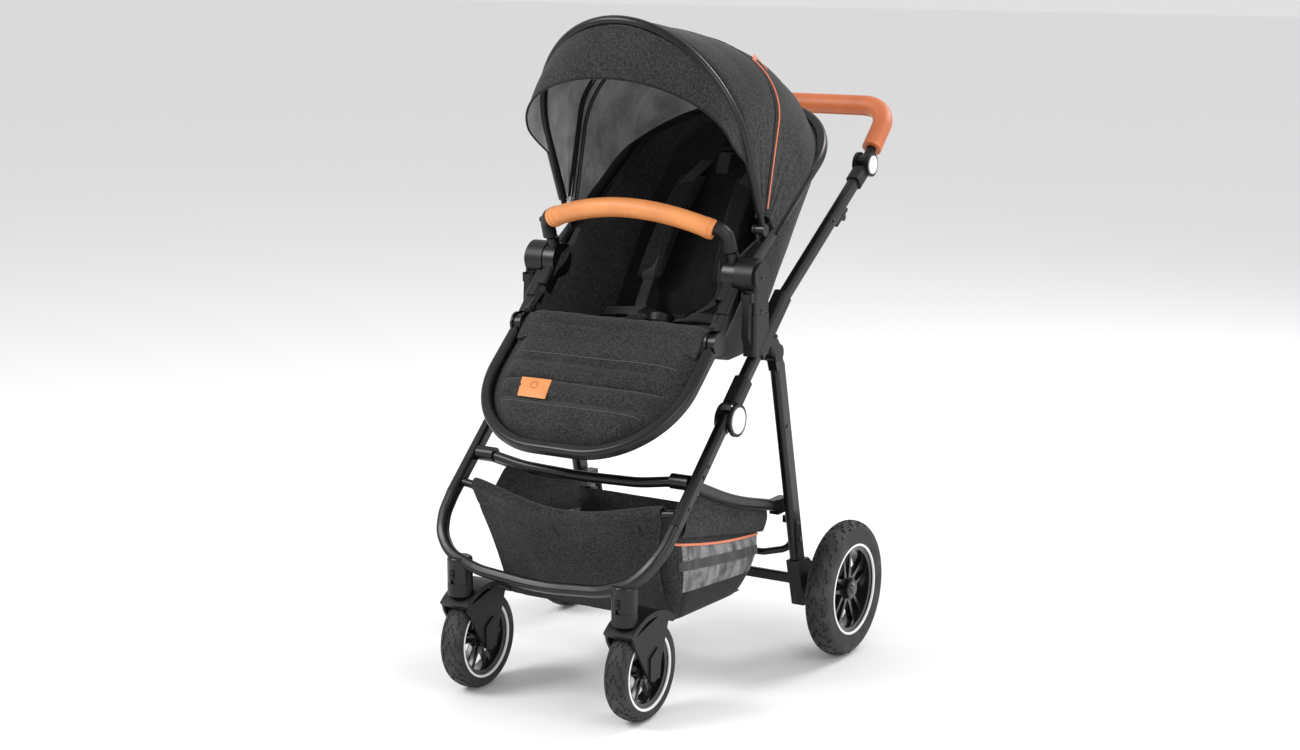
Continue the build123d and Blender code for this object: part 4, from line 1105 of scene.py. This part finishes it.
gripRoute = gripLine()
gripSleeve = tubeAlong("handle_sleeve", gripRoute, grip["radius"], gripLeather, sides=6)
seamRoute = [point + Vector((0, -0.35, -0.93)) * (grip["radius"] + 0.0003) for point in gripRoute[16:-16]]
gripSeam = tubeAlong("handle_sleeve_seam", seamRoute, 0.0011, gripLeather, sides=2)
laces = []
seamLine = flowing(seamRoute, 150)
for i in range(2, 148):
    way = (seamLine[i + 1] - seamLine[i - 1]).normalized()
    across = way.cross(Vector((0, -0.35, -0.93))).normalized()
    skew = way * 0.0012
    a, b = seamLine[i] - across * 0.0035 - skew, seamLine[i] + across * 0.0035 + skew
    top = seamLine[i] + Vector((0, -0.35, -0.93)) * 0.0011
    lift = Vector((0, 0.35, 0.93)) * 0.0006
    laces.append(tubeAlong(f"lace{i}", [a + lift, top, b + lift], 0.0005, threadTan, sides=0))
gripLaces = joined(laces, "handle_sleeve_laces")
for piece in (gripSleeve, gripSeam, gripLaces):
    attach(piece, "handle")
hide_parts("handle_grip")
print("leather covers made")


# basket: a sagging cloth tub hung from the rails

basket = {"topFront": (-0.288, 0.318), "topRear": (0.030, 0.258), "lowFront": (-0.246, 0.136),
          "lowRear": (-0.020, 0.131), "halfTop": 0.184, "halfLow": 0.157, "corner": 0.030}


def basketRing(height):
    # a rounded rectangle, from the middle of the front round by the left side
    t = height
    frontY = mix(basket["lowFront"][0], basket["topFront"][0], t)
    rearY = mix(basket["lowRear"][0], basket["topRear"][0], t ** 0.8)
    half = mix(basket["halfLow"], basket["halfTop"], t ** 0.7)
    frontZ = mix(basket["lowFront"][1], basket["topFront"][1], t)
    rearZ = mix(basket["lowRear"][1], basket["topRear"][1], t)
    c = basket["corner"]
    corners = [(half - c, frontY + c, -math.pi / 2), (half - c, rearY - c, 0.0),
               (-half + c, rearY - c, math.pi / 2), (-half + c, frontY + c, math.pi)]
    points = []
    for x, y, start in corners:
        for k in range(7):
            a = start + k / 6 * math.pi / 2
            px, py = x + c * math.cos(a), y + c * math.sin(a)
            along = (py - frontY) / (rearY - frontY)
            points.append(Vector((px, py, mix(frontZ, rearZ, along))))
    points.append(points[0].copy())
    lengths = [0.0]
    for a, b in zip(points, points[1:]):
        lengths.append(lengths[-1] + (b - a).length)
    return points, lengths


rings = {}


def basketPlace(u, v):
    key = round(v, 5)
    if key not in rings:
        rings[key] = basketRing(v)
    points, lengths = rings[key]
    target = u * lengths[-1]
    for index in range(1, len(points)):
        if lengths[index] >= target - 1e-9:
            span = lengths[index] - lengths[index - 1]
            t = (target - lengths[index - 1]) / span if span else 0
            point = points[index - 1].lerp(points[index], t)
            break
    bulge = 0.010 * math.sin(math.pi * min(v * 1.15, 1)) - 0.006 * ease(0.45, 1.0, v)
    out = Vector((point.x, point.y + 0.13, 0)).normalized()
    sag = -0.012 * ease(0.55, 1.0, v) * math.sin(math.pi * min(max((point.y + 0.27) / 0.29, 0), 1))
    fold = 0.003 * noise.noise(Vector((point.x * 14, point.y * 14, point.z * 8)))
    nearFront = ease(-0.21, -0.27, point.y) * max(1 - (point.x / 0.17) ** 2, 0) * ease(0.4, 1.0, v)
    return point + out * (bulge + fold) + Vector((0, -0.004 * nearFront, sag - 0.044 * nearFront))


def basketCloth(u, v):  # net over the middle of each side, black below it, woven cloth elsewhere
    onSide = 0.030 < u < 0.237 or 0.530 < u < 0.737
    if not onSide or v > 0.74:
        return 0
    return 1 if v > 0.27 else 2


tub = clothGrid("basket_tub", 120, 28, basketPlace)
dress(tub, melange, net, seatBlack)
paintFaces(tub, basketCloth)
floorCloth = clothGrid("basket_floor", 24, 20, lambda u, v: Vector((
    mix(-1, 1, u) * (basket["halfLow"] - 0.001),
    mix(basket["lowFront"][0] + 0.001, basket["lowRear"][0] - 0.001, v),
    mix(basket["lowFront"][1], basket["lowRear"][1], v)
    - 0.008 * math.sin(math.pi * u) * math.sin(math.pi * v)
    + 0.0008)))
dress(floorCloth, seatBlack)
tubArea = clothArea(tub) + clothArea(floorCloth)
basketTub = joined([tub, floorCloth], "basket_tub")
cleaned(basketTub, 0.0004)
finishWith(basketTub, "SOLIDIFY", thickness=0.0016, offset=0)
settle(basketTub, 60)
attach(basketTub, "basket")
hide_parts("basket")


def basketLine(name, height, low, high, radius, material, lift=0.0014):
    route = []
    for i in range(50):
        point = basketPlace(mix(low, high, i / 49), height)
        out = Vector((point.x, (point.y + 0.13) * 0.3, 0)).normalized()
        route.append(point + out * lift)
    return tubeAlong(name, route, radius, material, sides=3)


trims = [basketLine("basket_piping_left", 0.76, 0.020, 0.237, 0.0022, coral),
         basketLine("basket_piping_right", 0.76, 0.530, 0.747, 0.0022, coral)]
for side, low, high in (("left", 0.025, 0.235), ("right", 0.532, 0.742)):
    route, acrosses = [], []
    for i in range(40):
        point = basketPlace(mix(low, high, i / 39), 0.55)
        out = Vector((point.x, (point.y + 0.13) * 0.3, 0)).normalized()
        route.append(point + out * 0.0018)
        acrosses.append(Vector((0, 0, 1)))
    trims.append(strapAlong(f"basket_elastic_{side}", route, acrosses, 0.016, 0.0014, elastic))
for piece in trims:
    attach(piece, "basket")

railPiece = frame["nodes"]["basket_frame"]
railSpan = (-0.258, 0.012)


def railUnder(y):  # height of the rail's underside, felt from below
    hit, place, _, _ = railPiece.ray_cast(Vector((0.194, y, 0.20)), Vector((0, 0, 1)))
    return place.z if hit else mix(0.368, 0.262, (y + 0.271) / 0.323)


def bandPlace(u, v):
    y = mix(*railSpan, u)
    along = min(max((y + 0.288) / 0.318, 0), 1)
    low = mix(0.318, 0.258, along) - 0.030
    high = mix(low + 0.030, railUnder(y) + 0.004, ease(-0.262, -0.205, y))
    bulge = 0.004 * math.sin(math.pi * v) + 0.0015 * noise.noise(Vector((y * 20, v * 2, 2.2)))
    return Vector((mix(0.1835, 0.1895, v) + bulge, y, mix(low, high, v)))


for side in (-1, 1):
    band = clothGrid(f"basket_band_{side}", 48, 10, bandPlace)
    if side < 0:
        for vertex in band.data.vertices:
            vertex.co.x *= -1
    faceAway(band, lambda place, side=side: Vector((side, 0, 0)))
    finishWith(band, "SOLIDIFY", thickness=0.0016, offset=-1)
    dress(settle(band, 60), melange)
    named(band, f"basket_side_band_{'left' if side > 0 else 'right'}")
    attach(band, "basket")

# the front panel: a sleeve round the front tube that runs down to the tub
tubeLow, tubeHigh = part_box("basket_front_tube")
tubeY, tubeZ = (tubeLow[1] + tubeHigh[1]) / 2, (tubeLow[2] + tubeHigh[2]) / 2


frontBow = {"drop": 0.027, "forward": 0.014}


def bowed(side):  # how far the front tube hangs below and before its ends
    share = max(1 - side * side, 0) ** 1.5
    return Vector((0, -frontBow["forward"] * share, -frontBow["drop"] * share))


def frontPlace(u, v):
    side = 2 * u - 1
    turnShare = 0.42
    if v < turnShare:
        a = math.radians(mix(-60, 235, v / turnShare))
        y, z = tubeY + 0.0098 * math.cos(a), tubeZ + 0.0098 * math.sin(a)
        half, fall = 0.182, 1.0
    else:
        t = (v - turnShare) / (1 - turnShare)
        a = math.radians(235)
        start = Vector((0, tubeY + 0.0098 * math.cos(a), tubeZ + 0.0098 * math.sin(a)))
        finish = Vector((0, basket["lowFront"][0] - 0.006, basket["lowFront"][1] + 0.004))
        y = mix(start.y, finish.y, t) - 0.006 * math.sin(math.pi * t)
        z = mix(start.z, finish.z, t)
        half = mix(0.182, 0.160, t) - 0.010 * math.sin(math.pi * t)
        fall = 1 - t
    wave = 0.002 * noise.noise(Vector((side * 5, z * 12, 4.1)))
    hem = -0.0016 * math.exp(-((v - 0.50) / 0.012) ** 2)
    return Vector((side * half, y + wave - hem, z)) + bowed(side) * fall


tubeEnd = tubeHigh[0] - 0.001
tubeRoute = [Vector((tubeEnd * t, tubeY, tubeZ)) + bowed(t) for t in [i / 24 - 1 for i in range(49)]]
frontTube = tubeAlong("basket_front_rod", tubeRoute, 0.0070, tubeBlack)
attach(frontTube, "front_frame")
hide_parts("basket_front_tube")
frontPanel = clothGrid("basket_front_panel", 60, 64, frontPlace)
finishWith(frontPanel, "SOLIDIFY", thickness=0.0018, offset=0)
dress(settle(frontPanel, 60), melange)
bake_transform(frontPanel)
eyelets = []
for x in (-0.020, 0.140):
    spot = frontPlace((x / 0.182 + 1) / 2, 0.47)
    bpy.ops.object.select_all(action="DESELECT")
    bpy.ops.mesh.primitive_cylinder_add(vertices=28, radius=0.0064, depth=0.0036,
                                        rotation=(math.pi / 2, 0, 0),
                                        location=spot + Vector((0, -0.0016, 0)))
    ringPiece = bpy.context.object
    selectFaces(ringPiece, lambda place, normal: normal.z > 0.9)
    bpy.ops.mesh.inset(thickness=0.0022, depth=-0.0012)
    bpy.ops.object.mode_set(mode="OBJECT")
    finishWith(ringPiece, "BEVEL", width=0.0005, segments=2, limit_method="ANGLE")
    eyelets.append(ringPiece)
eyeletPiece = dress(settle(joined(eyelets, "basket_eyelets"), 40), mouldBlack)
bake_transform(eyeletPiece)
